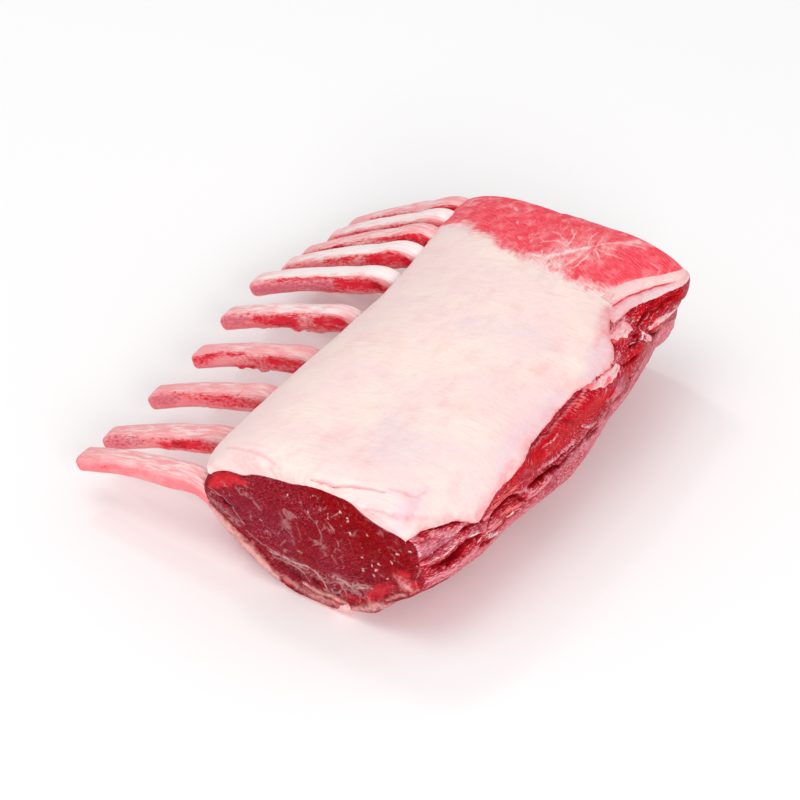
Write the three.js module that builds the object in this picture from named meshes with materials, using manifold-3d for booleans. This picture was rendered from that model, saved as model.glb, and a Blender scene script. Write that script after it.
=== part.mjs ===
// A raw frenched rack of lamb: the chined loin with its fat cap, ten rib bones, the thin red cap
// muscle over the shoulder end, the fat under that muscle and scraps of fat on the chine side.
//
// Millimetres, +Z up. +X runs along the backbone from the loin-end cut to the shoulder-end cut,
// +Y points from the chine side to the rib tips. The origin is the middle of the bounding box,
// on the surface that the rack lies on.

import * as THREE from 'three';
import { mergeVertices } from 'three/addons/utils/BufferGeometryUtils.js';
import Module from 'manifold-3d';

const wasm = await Module();
wasm.setup();

const { clamp, lerp, degToRad, radToDeg, smoothstep } = THREE.MathUtils;

// ---------------------------------------------------------------- driving dimensions

const length = 185; // backbone length, from cut to cut
const gap = 0.3; // clearance between touching pieces
const reach = 4; // how far a cutting body runs past a cut end
const table = 1.5; // height of the table above the section's lowest point, pressed flat by weight

const loin = {
  halfWidth: [47.5, 50.5], // at the loin end and at the shoulder end
  belly: 2.5, // extra half width half way along
  bow: 8.4, // sideways curve of the backbone
  bowCentre: 0.44, // where along the length the bow turns
  offset: -2.3, // sideways place of the bow's turning point
  midHeight: [35.5, 41.5], // height of the widest level, at both ends
  crown: 59.5, // height of the fat's crown at the ends
  crownLift: 1.5, // extra height of the crown half way along
  chineTop: [2.5, 3], // squareness of the upper quarter on the chine side, at both ends
  ribTop: [2.3, 2], // the same on the ribs' side
  chineBottom: [1.75, 1.97], // squareness of the lower quarter, at the cut and behind it
  ribBottom: [1.6, 1.95], // the same on the ribs' side
  bottomRun: 40, // length over which the lower quarters fill out
  floor: 1.1, // least height of the meat between the ribs above the table
  membrane: 1.2, // how far the ribs stand out of the underside
  allowance: 0.6, // meat under a layer, from the outer skin down, before the layer is cut out
  step: 1.5, // how far the chine side lies behind the fat's edge
  endStep: 0.3, // the same at both cut ends
  endRound: { side: 0.6, crown: [3.4, 2.2] }, // rounding of the cut ends
  endRun: 14, // length over which an end is rounded
  shoulderSwell: 2, // extra fullness of the upper chine side at the shoulder end
  tuck: 1.8, // how far the lower chine side draws in before it
  faceBulge: 1.6, // how far a cut face swells
};

const fat = {
  thickness: 4.6, // on the crown
  edgeThickness: 1.5, // where it thins out towards the chine side
  featherThickness: 0.9, // where it thins out over the cap muscle
  featherRun: 16, // length of that thinning
  ribAngle: 172, // edge over the ribs, in degrees round the section
  start: 0.4, // set back of its front edge from the cut
  end: [141, 163], // distance along the rack of its far edge, at the chine side and at the ribs
  lip: 1.7, // drop of its front lip below the crown
  lipRun: [3.5, 10], // length of the lip, on the crown and at the chine side
};

// Extra fullness of the ribs' side: distance along the rack and millimetres.
const ribSwell = [[0, 1.2], [15, 2.2], [50, 2.7], [80, 1.8], [110, 0.2], [130, 0.3], [160, 1.4], [185, 1]];

// Edges on the chine side: distance along the rack and degrees round the section.
const fatEdge = [
  [0, 16.5], [6, 18.8], [12, 17.4], [20, 13.2], [29, 5.5], [34, 7.5], [40, 11.8], [54, 14.2],
  [64, 17.4], [95, 18.5], [120, 15], [128, 21], [141, 26], [185, 26],
];
const capEdge = [[130, 33], [141, 31], [150, 29], [160, 24.2], [170, 18], [185, 10.5]];
const seamEdge = [[130, 22.5], [142, 20.5], [150, 18.7], [160, 14.5], [170, 11.5], [185, 6.5]];

const cap = {
  overlap: 10, // length that lies hidden under the fat
  depth: 5.1, // depth of its underside below the outer skin
  edgeDepth: 2.6, // the same at its chine edge
  edgeRun: 26, // degrees over which it thickens
  end: 1, // set back of its far end from the cut
};

const seam = {
  thickness: 2, // of the fat layer under the cap muscle
  allowance: 0.2, // depth of its upper face before the cap muscle is cut out
  overlap: 6, // how far it starts before the fat's far edge
  end: 1.4, // set back of its far end from the cut
};

// Scraps of fat left on the chine side: distances along the rack of both ends, the angles of
// those ends, and the width in degrees.
const scraps = [
  { x: [99, 122], angle: [15, 12], width: 6.5 },
  { x: [126, 140], angle: [21, 17], width: 5 },
  { x: [142, 149], angle: [9.5, 2.5], width: 3.6 },
  { x: [146, 171], angle: [11, 2], width: 4 },
];
const scrapHeight = 0.5; // how far a scrap stands out of the meat
const scrapDepth = 1.1; // how far it reaches into the meat

const rib = {
  halfWidth: 4.4, // along the backbone
  halfThickness: 3.3,
  rootSwell: { wide: 0.08, thick: 0.28 }, // extra size where it leaves the meat, as a share
  bareThick: 0.18, // extra thickness all along its bare part, as a share
  tipSlope: 0.35, // share of its upper half that is worn away at the tip
  tipRun: 0.025, // length of that slope, as a share of the bone's length
  power: 2.9, // squareness of the bone's section
  inset: 2.9, // depth of its centre line below the outer skin of the underside
  floor: 2.8, // least height of its centre line above the table, so that it lies flat
  rootY: 51, // where it leaves the meat
  archHeight: 2.6, // how far the bare bone bows up off a straight line
  angles: [300, 215], // where the hidden part starts and ends on the section
  sides: 8,
  steps: 16,
};

// Where each bone crosses the rack, the height at which it leaves the meat, and its tip.
const bones = [
  { x: 4.8, rootZ: 30.6, tipY: 105, tipZ: 19 },
  { x: 25, rootZ: 34.9, tipY: 108.3, tipZ: 13 },
  { x: 50, rootZ: 37.3, tipY: 105.7, tipZ: 16.8 },
  { x: 76, rootZ: 37.8, tipY: 104.4, tipZ: 19.5 },
  { x: 102, rootZ: 40.1, tipY: 109.5, tipZ: 19 },
  { x: 128, rootZ: 42.1, tipY: 113.8, tipZ: 17.2 },
  { x: 144, rootZ: 44.4, tipY: 110, tipZ: 16.4 },
  { x: 156.5, rootZ: 45.2, tipY: 109.8, tipZ: 14.3 },
  { x: 168.5, rootZ: 45.1, tipY: 104.8, tipZ: 17 },
  { x: 180, rootZ: 44.2, tipY: 103.8, tipZ: 16 },
];

const colours = {
  meat: 0xa3141f,
  fat: 0xf3dfd9,
  cap: 0xe0525a,
  bone: 0xd98787,
};

// ---------------------------------------------------------------- the rack's outer skin

// Value at x of a smooth curve through (x, value) points.
function curveAt(points, x) {
  const next = clamp(points.findIndex((point) => point[0] >= x), 1, points.length - 1);
  const slope = (k) => {
    const [from, to] = [points[Math.max(k - 1, 0)], points[Math.min(k + 1, points.length - 1)]];
    return (to[1] - from[1]) / (to[0] - from[0]);
  };
  const [x0, y0] = points[next - 1];
  const [x1, y1] = points[next];
  const t = clamp((x - x0) / (x1 - x0), 0, 1);
  const ease = t * t * (3 - 2 * t);
  const leave = slope(next - 1) * (x1 - x0) * t * (1 - t) * (1 - t);
  const arrive = slope(next) * (x1 - x0) * t * t * (t - 1);
  return lerp(y0, y1, ease) + leave + arrive;
}

// Centre, half width and half heights of the cross-section at a distance along the backbone.
function sectionAt(x) {
  const u = clamp(x / length, 0, 1);
  const midZ = lerp(...loin.midHeight, u);
  const crown = loin.crown + loin.crownLift * Math.sin(Math.PI * u);
  const turn = (u - loin.bowCentre) / (1 - loin.bowCentre);
  return {
    midY: loin.offset + loin.bow * turn * turn,
    midZ,
    up: crown - midZ,
    halfWidth: lerp(...loin.halfWidth, u) + loin.belly * Math.sin(Math.PI * u),
  };
}

// Squareness of the quarter of the section in which an angle lies.
function squareness(x, angle) {
  const u = clamp(x / length, 0, 1);
  if (angle <= 90) return lerp(...loin.chineTop, u);
  if (angle <= 180) return lerp(...loin.ribTop, u);
  const bottom = angle <= 270 ? loin.ribBottom : loin.chineBottom;
  return lerp(...bottom, smoothstep(x, 0, loin.bottomRun));
}

// How far the skin is drawn in near a cut end, so that the end's edge is rounded.
function endRounding(x, wrapped) {
  const fromEnd = clamp(Math.min(x, length - x) / loin.endRun, 0, 1);
  const onCrown = smoothstep(wrapped, -30, 30) * (1 - smoothstep(wrapped, 160, 200));
  const { side, crown } = loin.endRound;
  return lerp(side, lerp(...crown, clamp(x / length, 0, 1)), onCrown) * Math.pow(1 - fromEnd, 2.2);
}

// Long muscle ridges and the grooves between them, on the chine side below the fat.
function chineRelief(x, wrapped) {
  const fade = smoothstep(wrapped, -75, -45) * (1 - smoothstep(wrapped, 4, 16));
  const drift = 9 - 0.09 * x + 3 * Math.sin(x / 27);
  const ridges = 1.2 * Math.cos(degToRad((wrapped - drift - 18) * 10)) - 0.9;
  const lumps = 0.6 * Math.sin(x / 9 + wrapped / 14) + 0.4 * Math.sin(x / 17 - wrapped / 9);
  return fade * (ridges + lumps);
}

// Fullness of the chine side at the shoulder end, and the hollow below and before it.
function shoulderRelief(x, wrapped) {
  const above = smoothstep(wrapped, -8, 6) * (1 - smoothstep(wrapped, 28, 50));
  const below = smoothstep(-wrapped, 2, 12) * (1 - smoothstep(-wrapped, 45, 75));
  const before = smoothstep(x, 100, 130) * (1 - smoothstep(x, 168, 180));
  return loin.shoulderSwell * smoothstep(x, 158, 183) * above - loin.tuck * before * below;
}

// Slow swelling and hollows of the fat's surface.
function crownRelief(x, wrapped) {
  const fade = smoothstep(wrapped, 20, 50) * (1 - smoothstep(wrapped, 145, 170));
  return fade * (0.5 * Math.sin(x / 26 + wrapped / 30) + 0.35 * Math.sin(x / 15 - wrapped / 18));
}

// Fullness of the ribs' side, under the edge of the fat.
function ribRelief(x, wrapped) {
  const fade = smoothstep(wrapped, 110, 155) * (1 - smoothstep(wrapped, 185, 215));
  return fade * curveAt(ribSwell, clamp(x, 0, length));
}

// Distance of the outer skin from the section's centre. 0 degrees is the chine side, 90 the
// crown, 180 the ribs' side and 270 the underside.
function skinRadius(x, angle) {
  const s = sectionAt(x);
  const a = degToRad(angle);
  const power = squareness(x, angle);
  const across = Math.abs(Math.cos(a)) / s.halfWidth;
  const rise = Math.abs(Math.sin(a)) / (angle < 180 ? s.up : s.midZ);
  const radius = Math.pow(Math.pow(across, power) + Math.pow(rise, power), -1 / power);
  const wrapped = angle > 270 ? angle - 360 : angle;
  const sides = chineRelief(x, wrapped) + shoulderRelief(x, wrapped) + ribRelief(x, wrapped);
  return radius - endRounding(x, wrapped) + sides + crownRelief(x, wrapped);
}

// A point at a depth below the outer skin, at least the given height above the table.
function under(x, angle, depth, floor = 0) {
  const s = sectionAt(x);
  const round = (angle + 360) % 360;
  const a = degToRad(round);
  const radius = skinRadius(x, round) - depth;
  const z = s.midZ + radius * Math.sin(a);
  return new THREE.Vector3(x, s.midY - radius * Math.cos(a), Math.max(z, table + floor));
}

// ---------------------------------------------------------------- closed bodies from grids

// Joins equal corners, drops empty triangles and gives smooth shading.
function tidy(positions, index) {
  const raw = new THREE.BufferGeometry();
  raw.setAttribute('position', new THREE.Float32BufferAttribute(positions, 3));
  raw.setIndex(index);
  const merged = mergeVertices(raw, 1e-3);
  const corners = merged.index.array;
  const kept = [];
  for (let i = 0; i < corners.length; i += 3) {
    const [a, b, c] = corners.slice(i, i + 3);
    if (a !== b && b !== c && c !== a) kept.push(a, b, c);
  }
  merged.setIndex(kept);
  merged.computeVertexNormals();
  return merged;
}

// A closed tube: rows of points along it, each row a closed ring, ended by one point at each end.
function ringBody(rows, columns, pointAt, first, last) {
  const positions = [];
  for (let i = 0; i < rows; i++) {
    for (let j = 0; j < columns; j++) positions.push(...pointAt(i, j).toArray());
  }
  positions.push(...first.toArray(), ...last.toArray());
  const start = rows * columns;
  const index = [];
  for (let j = 0; j < columns; j++) {
    const next = (j + 1) % columns;
    for (let i = 0; i < rows - 1; i++) {
      const a = i * columns;
      const b = a + columns;
      index.push(a + j, a + next, b + next, a + j, b + next, b + j);
    }
    const end = (rows - 1) * columns;
    index.push(start, next, j, start + 1, end + j, end + next);
  }
  return tidy(positions, index);
}

// Shares of a layer's length at which its rows lie. A share outside 0 to 1 is a run past an end.
function shares(count, runs = []) {
  const inside = Array.from({ length: count + 1 }, (_, i) => i / count);
  return [...inside, ...runs].sort((a, b) => a - b);
}

// A closed layer between an upper and a lower sheet, both given over the same grid.
function layerBody(alongs, columns, upper, lower) {
  const positions = [];
  for (const sheet of [upper, lower]) {
    for (const along of alongs) {
      for (let j = 0; j <= columns; j++) {
        positions.push(...sheet(along, j / columns).toArray());
      }
    }
  }
  const rows = alongs.length - 1;
  const wide = columns + 1;
  const below = (rows + 1) * wide;
  const index = [];
  const quad = (a, b, c, d) => index.push(a, b, c, a, c, d);
  for (let i = 0; i < rows; i++) {
    for (let j = 0; j < columns; j++) {
      const a = i * wide + j;
      quad(a, a + wide, a + wide + 1, a + 1);
      quad(below + a, below + a + 1, below + a + wide + 1, below + a + wide);
    }
    const left = i * wide;
    const right = left + columns;
    quad(left, below + left, below + left + wide, left + wide);
    quad(right, right + wide, below + right + wide, below + right);
  }
  for (let j = 0; j < columns; j++) {
    const far = rows * wide + j;
    quad(j, j + 1, below + j + 1, below + j);
    quad(far, below + far, below + far + 1, far + 1);
  }
  return tidy(positions, index);
}

// ---------------------------------------------------------------- layers of the crown

// Where the fat stops along the rack, from the chine side (0) to the ribs (1).
function fatEnd(across) {
  return lerp(...fat.end, Math.pow(across, 1.6)) + 1.5 * Math.sin(across * 11);
}

function fatDepth(x, across) {
  const onCrown = smoothstep(across, 0, 0.22);
  const ribSide = 1 - 0.35 * smoothstep(across, 0.8, 1);
  const full = lerp(fat.edgeThickness, fat.thickness * ribSide, onCrown);
  const feather = smoothstep(fatEnd(across) - x, 0, fat.featherRun);
  return lerp(fat.featherThickness, full, feather);
}

// The front lip, which sinks towards the cut and is longest beside the chine.
function lipDrop(x, across) {
  const run = lerp(...fat.lipRun, 1 - smoothstep(across, 0.1, 0.45));
  return fat.lip * (1 - smoothstep(x, 0.5 * run, run)) * (1 - smoothstep(across, 0.55, 0.8));
}

// One face of a layer: a point for each share of its length and of its width.
function sheet(xAt, pointAt) {
  return (along, across) => {
    const inside = clamp(along, 0, 1);
    const point = pointAt(xAt(inside, across), across, inside);
    point.x += (along - inside) * reach;
    return point;
  };
}

// The three layers below can be made larger all round, for cutting their beds in their neighbours.
const swellAngle = (grow) => radToDeg(grow / loin.halfWidth[0]);

function makeFat(grow = 0, runs = []) {
  const xAt = (along, across) => lerp(fat.start, fatEnd(across) + grow, along);
  const at = (depth) => (x, across) => {
    const from = curveAt(fatEdge, x) - swellAngle(grow);
    return under(x, lerp(from, fat.ribAngle + swellAngle(grow), across), depth(x, across));
  };
  const upper = (x, across) => lipDrop(x, across) - grow;
  const lower = (x, across) =>
    Math.max(fatDepth(x, across), lipDrop(x, across) + fat.edgeThickness) + grow;
  return layerBody(shares(22, runs), 14, sheet(xAt, at(upper)), sheet(xAt, at(lower)));
}

function makeCap(grow = 0, runs = []) {
  const xAt = (along, across) =>
    lerp(fatEnd(across) - cap.overlap - grow, length - cap.end, along);
  const at = (depth) => (x, across) => {
    const edge = curveAt(capEdge, x);
    const angle = lerp(edge - swellAngle(grow), fat.ribAngle + swellAngle(grow), across);
    return under(x, angle, depth(angle - edge));
  };
  const upper = () => -grow;
  const lower = (fromEdge) =>
    lerp(cap.edgeDepth, cap.depth, smoothstep(fromEdge, 0, cap.edgeRun)) + grow;
  return layerBody(shares(9, runs), 14, sheet(xAt, at(upper)), sheet(xAt, at(lower)));
}

function makeSeam(grow = 0, runs = []) {
  const xAt = (along, across) =>
    lerp(fatEnd(across) - seam.overlap - grow, length - seam.end, along);
  const at = (depth) => (x, across) => {
    const edge = curveAt(seamEdge, x) - swellAngle(grow);
    return under(x, lerp(edge, fat.ribAngle - 4 + swellAngle(grow), across), depth);
  };
  const upper = seam.allowance - grow;
  const lower = cap.depth + gap + seam.thickness + grow;
  return layerBody(shares(8, runs), 16, sheet(xAt, at(upper)), sheet(xAt, at(lower)));
}

// Depth of the meat below the outer skin, before the layers are cut out of it.
function loinDepth(x, angle) {
  const inside = smoothstep(x, 0, 8) * (1 - smoothstep(x, 165, 180));
  const step = lerp(loin.endStep, loin.step, inside);
  if (angle > 180) {
    const underside = smoothstep(angle, 180, 200) * (1 - smoothstep(angle, 285, 300));
    return loin.membrane * underside + step * smoothstep(angle, 346, 360);
  }
  const fatFrom = curveAt(fatEdge, x);
  const edge = x < fat.end[0] ? fatFrom : curveAt(seamEdge, x);
  const across = clamp((angle - fatFrom) / (fat.ribAngle - fatFrom), 0, 1);
  const covered = loin.allowance + lipDrop(x, across);
  return lerp(step, covered, smoothstep(angle, edge - 1, edge + 6));
}

// A scrap of fat, widest half way along and pointed at both ends.
function makeScrap(scrap, grow = 0) {
  const xAt = (along) => lerp(scrap.x[0] - grow, scrap.x[1] + grow, along);
  const at = (lift) => (x, across, along) => {
    const half = 0.5 * scrap.width * Math.pow(Math.sin(Math.PI * lerp(0.06, 0.94, along)), 0.6);
    const side = 2 * across - 1;
    const angle = lerp(...scrap.angle, along) + side * (half + swellAngle(grow));
    return under(x, angle, loinDepth(x, (angle + 360) % 360) - lift * (1 - 0.5 * side * side));
  };
  const upper = sheet(xAt, at(scrapHeight + grow));
  return layerBody(shares(6), 4, upper, sheet(xAt, at(-scrapDepth - grow)));
}

// ---------------------------------------------------------------- rib bones

// Centre line of a bone, from its head under the loin to its bare tip.
function boneLine(bone) {
  const points = [];
  for (let angle = rib.angles[0]; angle >= rib.angles[1]; angle -= 17) {
    points.push(under(bone.x, angle, rib.inset, rib.floor));
  }
  for (const share of [0, 0.3, 0.65, 1]) {
    const arch = rib.archHeight * Math.sin(Math.PI * share);
    const y = lerp(rib.rootY, bone.tipY, share);
    points.push(new THREE.Vector3(bone.x, y, lerp(bone.rootZ, bone.tipZ, share) + arch));
  }
  return new THREE.CatmullRomCurve3(points, false, 'centripetal');
}

// Width and thickness of a bone along its length, as shares: a broad head, a slim neck, a thick
// root where it leaves the meat and an even shaft.
function boneSwell(share) {
  const head = 0.18 * (1 - smoothstep(share, 0, 0.12));
  const root = smoothstep(share, 0.45, 0.62) * (1 - smoothstep(share, 0.62, 0.88));
  const bare = rib.bareThick * smoothstep(share, 0.5, 0.65);
  const { wide, thick } = rib.rootSwell;
  return { wide: 1 + head + wide * root, thick: 1 + head + thick * root + bare };
}

function makeBone(bone, grow = 0) {
  const line = boneLine(bone);
  const across = new THREE.Vector3(1, 0, 0);
  const frames = shares(rib.steps, [1 - rib.tipRun]).map((share) => {
    const centre = line.getPointAt(share);
    const normal = new THREE.Vector3().crossVectors(line.getTangentAt(share), across);
    const blunt = share < 0.001 || share > 0.999 ? 0.82 : 1;
    const upper = 1 - rib.tipSlope * smoothstep(share, 1 - rib.tipRun, 1);
    return { centre, normal, swell: boneSwell(share), blunt, upper };
  });
  const pointAt = (i, j) => {
    const { centre, normal, swell, blunt, upper } = frames[i];
    const turn = ((j + 0.5) / rib.sides) * 2 * Math.PI;
    const c = Math.cos(turn);
    const s = Math.sin(turn);
    const power = 2 / rib.power;
    const halfWidth = rib.halfWidth * swell.wide * blunt + grow;
    const halfThickness = rib.halfThickness * swell.thick * blunt * (s < 0 ? upper : 1) + grow;
    const wide = Math.sign(c) * Math.pow(Math.abs(c), power) * halfWidth;
    const thick = Math.sign(s) * Math.pow(Math.abs(s), power) * halfThickness;
    const point = centre.clone().addScaledVector(across, wide).addScaledVector(normal, thick);
    point.z = Math.max(point.z, table - grow);
    return point;
  };
  const first = frames[0].centre.clone();
  const last = frames.at(-1).centre.clone();
  return ringBody(frames.length, rib.sides, pointAt, first, last);
}

// ---------------------------------------------------------------- the loin

function makeLoin() {
  const columns = 40;
  const stations = [0, 2, 6, 12];
  for (let x = 20; x < length - 16; x += 8) stations.push(x);
  stations.push(length - 12, length - 6, length - 2, length);
  const faceRings = [0.35, 0.7, 0.93];
  const bulge = (ring) => loin.faceBulge * (1 - ring * ring);
  const rings = [
    ...faceRings.map((ring) => ({ x: 0, ring, out: -bulge(ring) })),
    ...stations.map((x) => ({ x, ring: 1, out: 0 })),
    ...faceRings.toReversed().map((ring) => ({ x: length, ring, out: bulge(ring) })),
  ];
  const centreAt = (x) => {
    const s = sectionAt(x);
    return new THREE.Vector3(x, s.midY, s.midZ - 8);
  };
  const pointAt = (i, j) => {
    const { x, ring, out } = rings[i];
    const angle = 360 - (j / columns) * 360;
    const edge = under(x, angle, loinDepth(x, angle % 360), loin.floor);
    const point = centreAt(x).lerp(edge, ring);
    point.x += out;
    return point;
  };
  const first = centreAt(0);
  const last = centreAt(length);
  first.x -= loin.faceBulge;
  last.x += loin.faceBulge;
  return ringBody(rings.length, columns, pointAt, first, last);
}

// ---------------------------------------------------------------- cutting one piece's bed in another

function solidOf(geometry) {
  return new wasm.Manifold(
    new wasm.Mesh({
      numProp: 3,
      vertProperties: geometry.attributes.position.array,
      triVerts: new Uint32Array(geometry.index.array),
    }),
  );
}

function geometryOf(solid) {
  const mesh = solid.getMesh();
  return tidy(Array.from(mesh.vertProperties), Array.from(mesh.triVerts));
}

// Cuts the tools out of a body and keeps the largest piece.
function cutAway(geometry, tools) {
  const whole = tools.reduce((solid, tool) => solid.subtract(solidOf(tool)), solidOf(geometry));
  const pieces = whole.decompose().sort((a, b) => b.volume() - a.volume());
  return geometryOf(pieces[0]);
}

// ---------------------------------------------------------------- assembly

function named(name, geometry, color, roughness) {
  const material = new THREE.MeshStandardMaterial({ color, roughness, metalness: 0 });
  const mesh = new THREE.Mesh(geometry, material);
  mesh.name = name;
  return mesh;
}

const boneBeds = bones.map((bone) => makeBone(bone, gap));
const fatBed = makeFat(gap, [-1]);
const capBed = makeCap(gap, [2]);
const seamBed = makeSeam(gap, [2]);

const scrapBeds = scraps.map((scrap) => makeScrap(scrap, gap));

const rack = new THREE.Group();
const loinBody = cutAway(makeLoin(), [fatBed, capBed, seamBed, ...boneBeds, ...scrapBeds]);
rack.add(named('loin', loinBody, colours.meat, 0.35));
rack.add(named('fat_cap', cutAway(makeFat(), boneBeds), colours.fat, 0.45));
rack.add(named('cap_muscle', cutAway(makeCap(), [fatBed, ...boneBeds]), colours.cap, 0.35));
rack.add(named('seam_fat', cutAway(makeSeam(), [fatBed, capBed, ...boneBeds]), colours.fat, 0.45));
bones.forEach((bone, i) => {
  const name = 'rib_' + String(i + 1).padStart(2, '0');
  rack.add(named(name, makeBone(bone), colours.bone, 0.4));
});

scraps.forEach((scrap, i) => {
  const body = cutAway(makeScrap(scrap), [fatBed, seamBed]);
  rack.add(named('fat_scrap_' + (i + 1), body, colours.fat, 0.45));
});

const box = new THREE.Box3().setFromObject(rack);
const centre = box.getCenter(new THREE.Vector3());
rack.position.set(-centre.x, -centre.y, -box.min.z);

export default rack;
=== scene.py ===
import math

import bpy
import numpy as np
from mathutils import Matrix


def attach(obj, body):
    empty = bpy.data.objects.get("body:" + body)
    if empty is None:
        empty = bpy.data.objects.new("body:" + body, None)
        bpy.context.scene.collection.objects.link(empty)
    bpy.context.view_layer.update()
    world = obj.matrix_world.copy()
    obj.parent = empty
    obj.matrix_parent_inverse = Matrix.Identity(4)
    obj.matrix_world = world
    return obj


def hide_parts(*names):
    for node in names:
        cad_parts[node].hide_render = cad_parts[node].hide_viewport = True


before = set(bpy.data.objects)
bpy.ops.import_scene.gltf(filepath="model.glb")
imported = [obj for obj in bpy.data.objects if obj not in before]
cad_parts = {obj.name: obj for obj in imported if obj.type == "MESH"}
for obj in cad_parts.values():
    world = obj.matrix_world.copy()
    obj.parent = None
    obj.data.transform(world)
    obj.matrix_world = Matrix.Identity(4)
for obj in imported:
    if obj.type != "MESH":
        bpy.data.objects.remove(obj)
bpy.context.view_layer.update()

# A raw frenched rack of lamb. All shapes are worked out in millimetres round the backbone: x runs
# from the loin-end cut to the shoulder-end cut, and an angle goes round the section, 0 on the
# chine side, 90 on the crown, 180 on the ribs' side and 270 underneath.

# ---- camera, light and floor

camera = {  # degrees and mm
    "azimuth": -57.5,
    "elevation": 38.0,
    "place": (-839.46, -540.85, 797.53),
    "lens": 154.7,
}
studio = {
    "sky": 0.6,  # of the room's white walls on what is matt
    "reflections": 0.3,  # of the same walls in what is wet
    "lamps": {  # place in metres, width in metres, power in watts
        "overhead": ((-0.5, 0.3, 2.0), 1.3, 10.0),
        "front": ((-1.5, -1.5, 1.1), 0.9, 22.0),
        "glint": ((0.5, 0.9, 1.5), 0.25, 2.5),
        "fill": ((0.4, -1.8, 0.3), 1.0, 2.5),
    },
    "floor": {"colour": "#fdfcfc", "roughness": 0.9, "shine": 0.1, "reach": 4.0},
}


def linear(code):  # an sRGB hex value as linear colour
    channels = [int(code[k : k + 2], 16) / 255 for k in (1, 3, 5)]
    return tuple(c / 12.92 if c <= 0.04045 else ((c + 0.055) / 1.055) ** 2.4 for c in channels) + (1.0,)


def addNode(tree, kind, inputs=None, **settings):
    made = tree.nodes.new(kind)
    for key, value in settings.items():
        setattr(made, key, value)
    for key, value in (inputs or {}).items():
        if isinstance(value, bpy.types.NodeSocket):
            tree.links.new(value, made.inputs[key])
        else:
            made.inputs[key].default_value = value
    return made


def addObject(name, data, place=(0, 0, 0)):
    made = bpy.data.objects.new(name, data)
    made.location = place
    bpy.context.scene.collection.objects.link(made)
    return made


def setStage():
    data = bpy.data.cameras.new("camera")
    data.lens = camera["lens"]
    data.clip_end = 20
    shooter = addObject("camera", data, [v / 1000 for v in camera["place"]])
    shooter.rotation_euler = (math.radians(90 - camera["elevation"]), 0, math.radians(camera["azimuth"]))
    bpy.context.scene.camera = shooter

    world = bpy.data.worlds.new("studio")
    world.use_nodes = True
    tree = world.node_tree
    glossy = addNode(tree, "ShaderNodeLightPath").outputs["Is Glossy Ray"]
    strength = addNode(tree, "ShaderNodeMix", {0: glossy, 2: studio["sky"], 3: studio["reflections"]})
    tree.links.new(strength.outputs[0], tree.nodes["Background"].inputs["Strength"])
    tree.nodes["Background"].inputs["Color"].default_value = (1, 1, 1, 1)
    bpy.context.scene.world = world
    for name, (place, width, power) in studio["lamps"].items():
        lamp = bpy.data.lights.new(name, "AREA")
        lamp.size = width
        lamp.energy = power
        holder = addObject(name, lamp, place)
        holder.rotation_euler = (-holder.location.normalized()).to_track_quat("-Z", "Y").to_euler()

    material = bpy.data.materials.new("paleFloor")
    material.use_nodes = True
    shader = material.node_tree.nodes["Principled BSDF"]
    floor = studio["floor"]
    shader.inputs["Base Color"].default_value = linear(floor["colour"])
    shader.inputs["Roughness"].default_value = floor["roughness"]
    shader.inputs["Specular IOR Level"].default_value = floor["shine"]
    mesh = bpy.data.meshes.new("floor")
    corners = [(x * floor["reach"], y * floor["reach"], 0) for x, y in ((-1, -1), (1, -1), (1, 1), (-1, 1))]
    mesh.from_pydata(corners, [], [(0, 1, 2, 3)])
    mesh.materials.append(material)
    addObject("floor", mesh)
    bpy.context.scene.view_settings.view_transform = "Standard"
    print("stage set")


setStage()

# ---- the rack's outer skin

rack = {
    "length": 185.0,
    "halfWidth": (47.5, 50.5),  # loin end, shoulder end
    "belly": 2.5,
    "bow": 8.4,  # sideways curve of the backbone
    "bowCentre": 0.44,
    "offset": -2.3,
    "midHeight": (35.5, 41.5),
    "crown": 59.5,
    "crownLift": 1.5,
    "chineTop": (2.5, 3.0),  # squareness of each quarter of the section
    "ribTop": (2.3, 2.0),
    "ribBottom": (1.6, 1.95),
    "chineBottom": (1.75, 1.97),
    "bottomRun": 40.0,
    "endRound": (0.6, 3.4, 2.2),  # side, crown at the loin end, crown at the shoulder end
    "shoulderSwell": 2.0,
    "tuck": 1.8,
    "endRun": 14.0,
    "table": 1.5,  # height of the table above the section's lowest point
    "degree": 0.84,  # mm of skin in a degree of the section
    "ribSwell": ((0, 1.2), (15, 2.2), (50, 2.7), (80, 1.8), (110, 0.2), (130, 0.3), (160, 1.4), (185, 1.0)),
    "place": (-92.5, -31.43, -1.5),  # from the backbone's own coordinates to the frame's
}


def lerp(a, b, t):
    return a + (b - a) * t


def limited(values):
    return np.clip(values, 0.0, 1.0)


def smooth(x, low, high):
    t = limited((x - low) / (high - low))
    return t * t * (3.0 - 2.0 * t)


def window(x, start, full, fading, end):  # 1 between full and fading, and nothing outside
    return smooth(x, start, full) * (1 - smooth(x, fading, end))


def roll(gap, width):  # how far a rounded edge turns in: 1 at the edge, and nothing beyond the width
    return (1 - smooth(gap, 0, width)) ** 2


def hump(gap, width):  # 1 where the gap is none, and soon nothing beyond the width
    return np.exp(-((gap / width) ** 2))


def wrapped(angle):  # from -90 to 270 degrees, so that the chine side has no jump
    return np.where(angle > 270.0, angle - 360.0, angle)


def along(points, at):  # a smooth curve through (place, value) pairs
    places, values = np.array(points, float).T
    k = np.clip(np.searchsorted(places, at) - 1, 0, len(places) - 2)
    order = np.arange(len(places))
    before, after = np.maximum(order - 1, 0), np.minimum(order + 1, order[-1])
    slope = (values[after] - values[before]) / (places[after] - places[before])
    run = places[k + 1] - places[k]
    t = limited((at - places[k]) / run)
    eased = lerp(values[k], values[k + 1], t * t * (3.0 - 2.0 * t))
    return eased + run * t * (1 - t) * (slope[k] * (1 - t) - slope[k + 1] * t)


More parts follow.
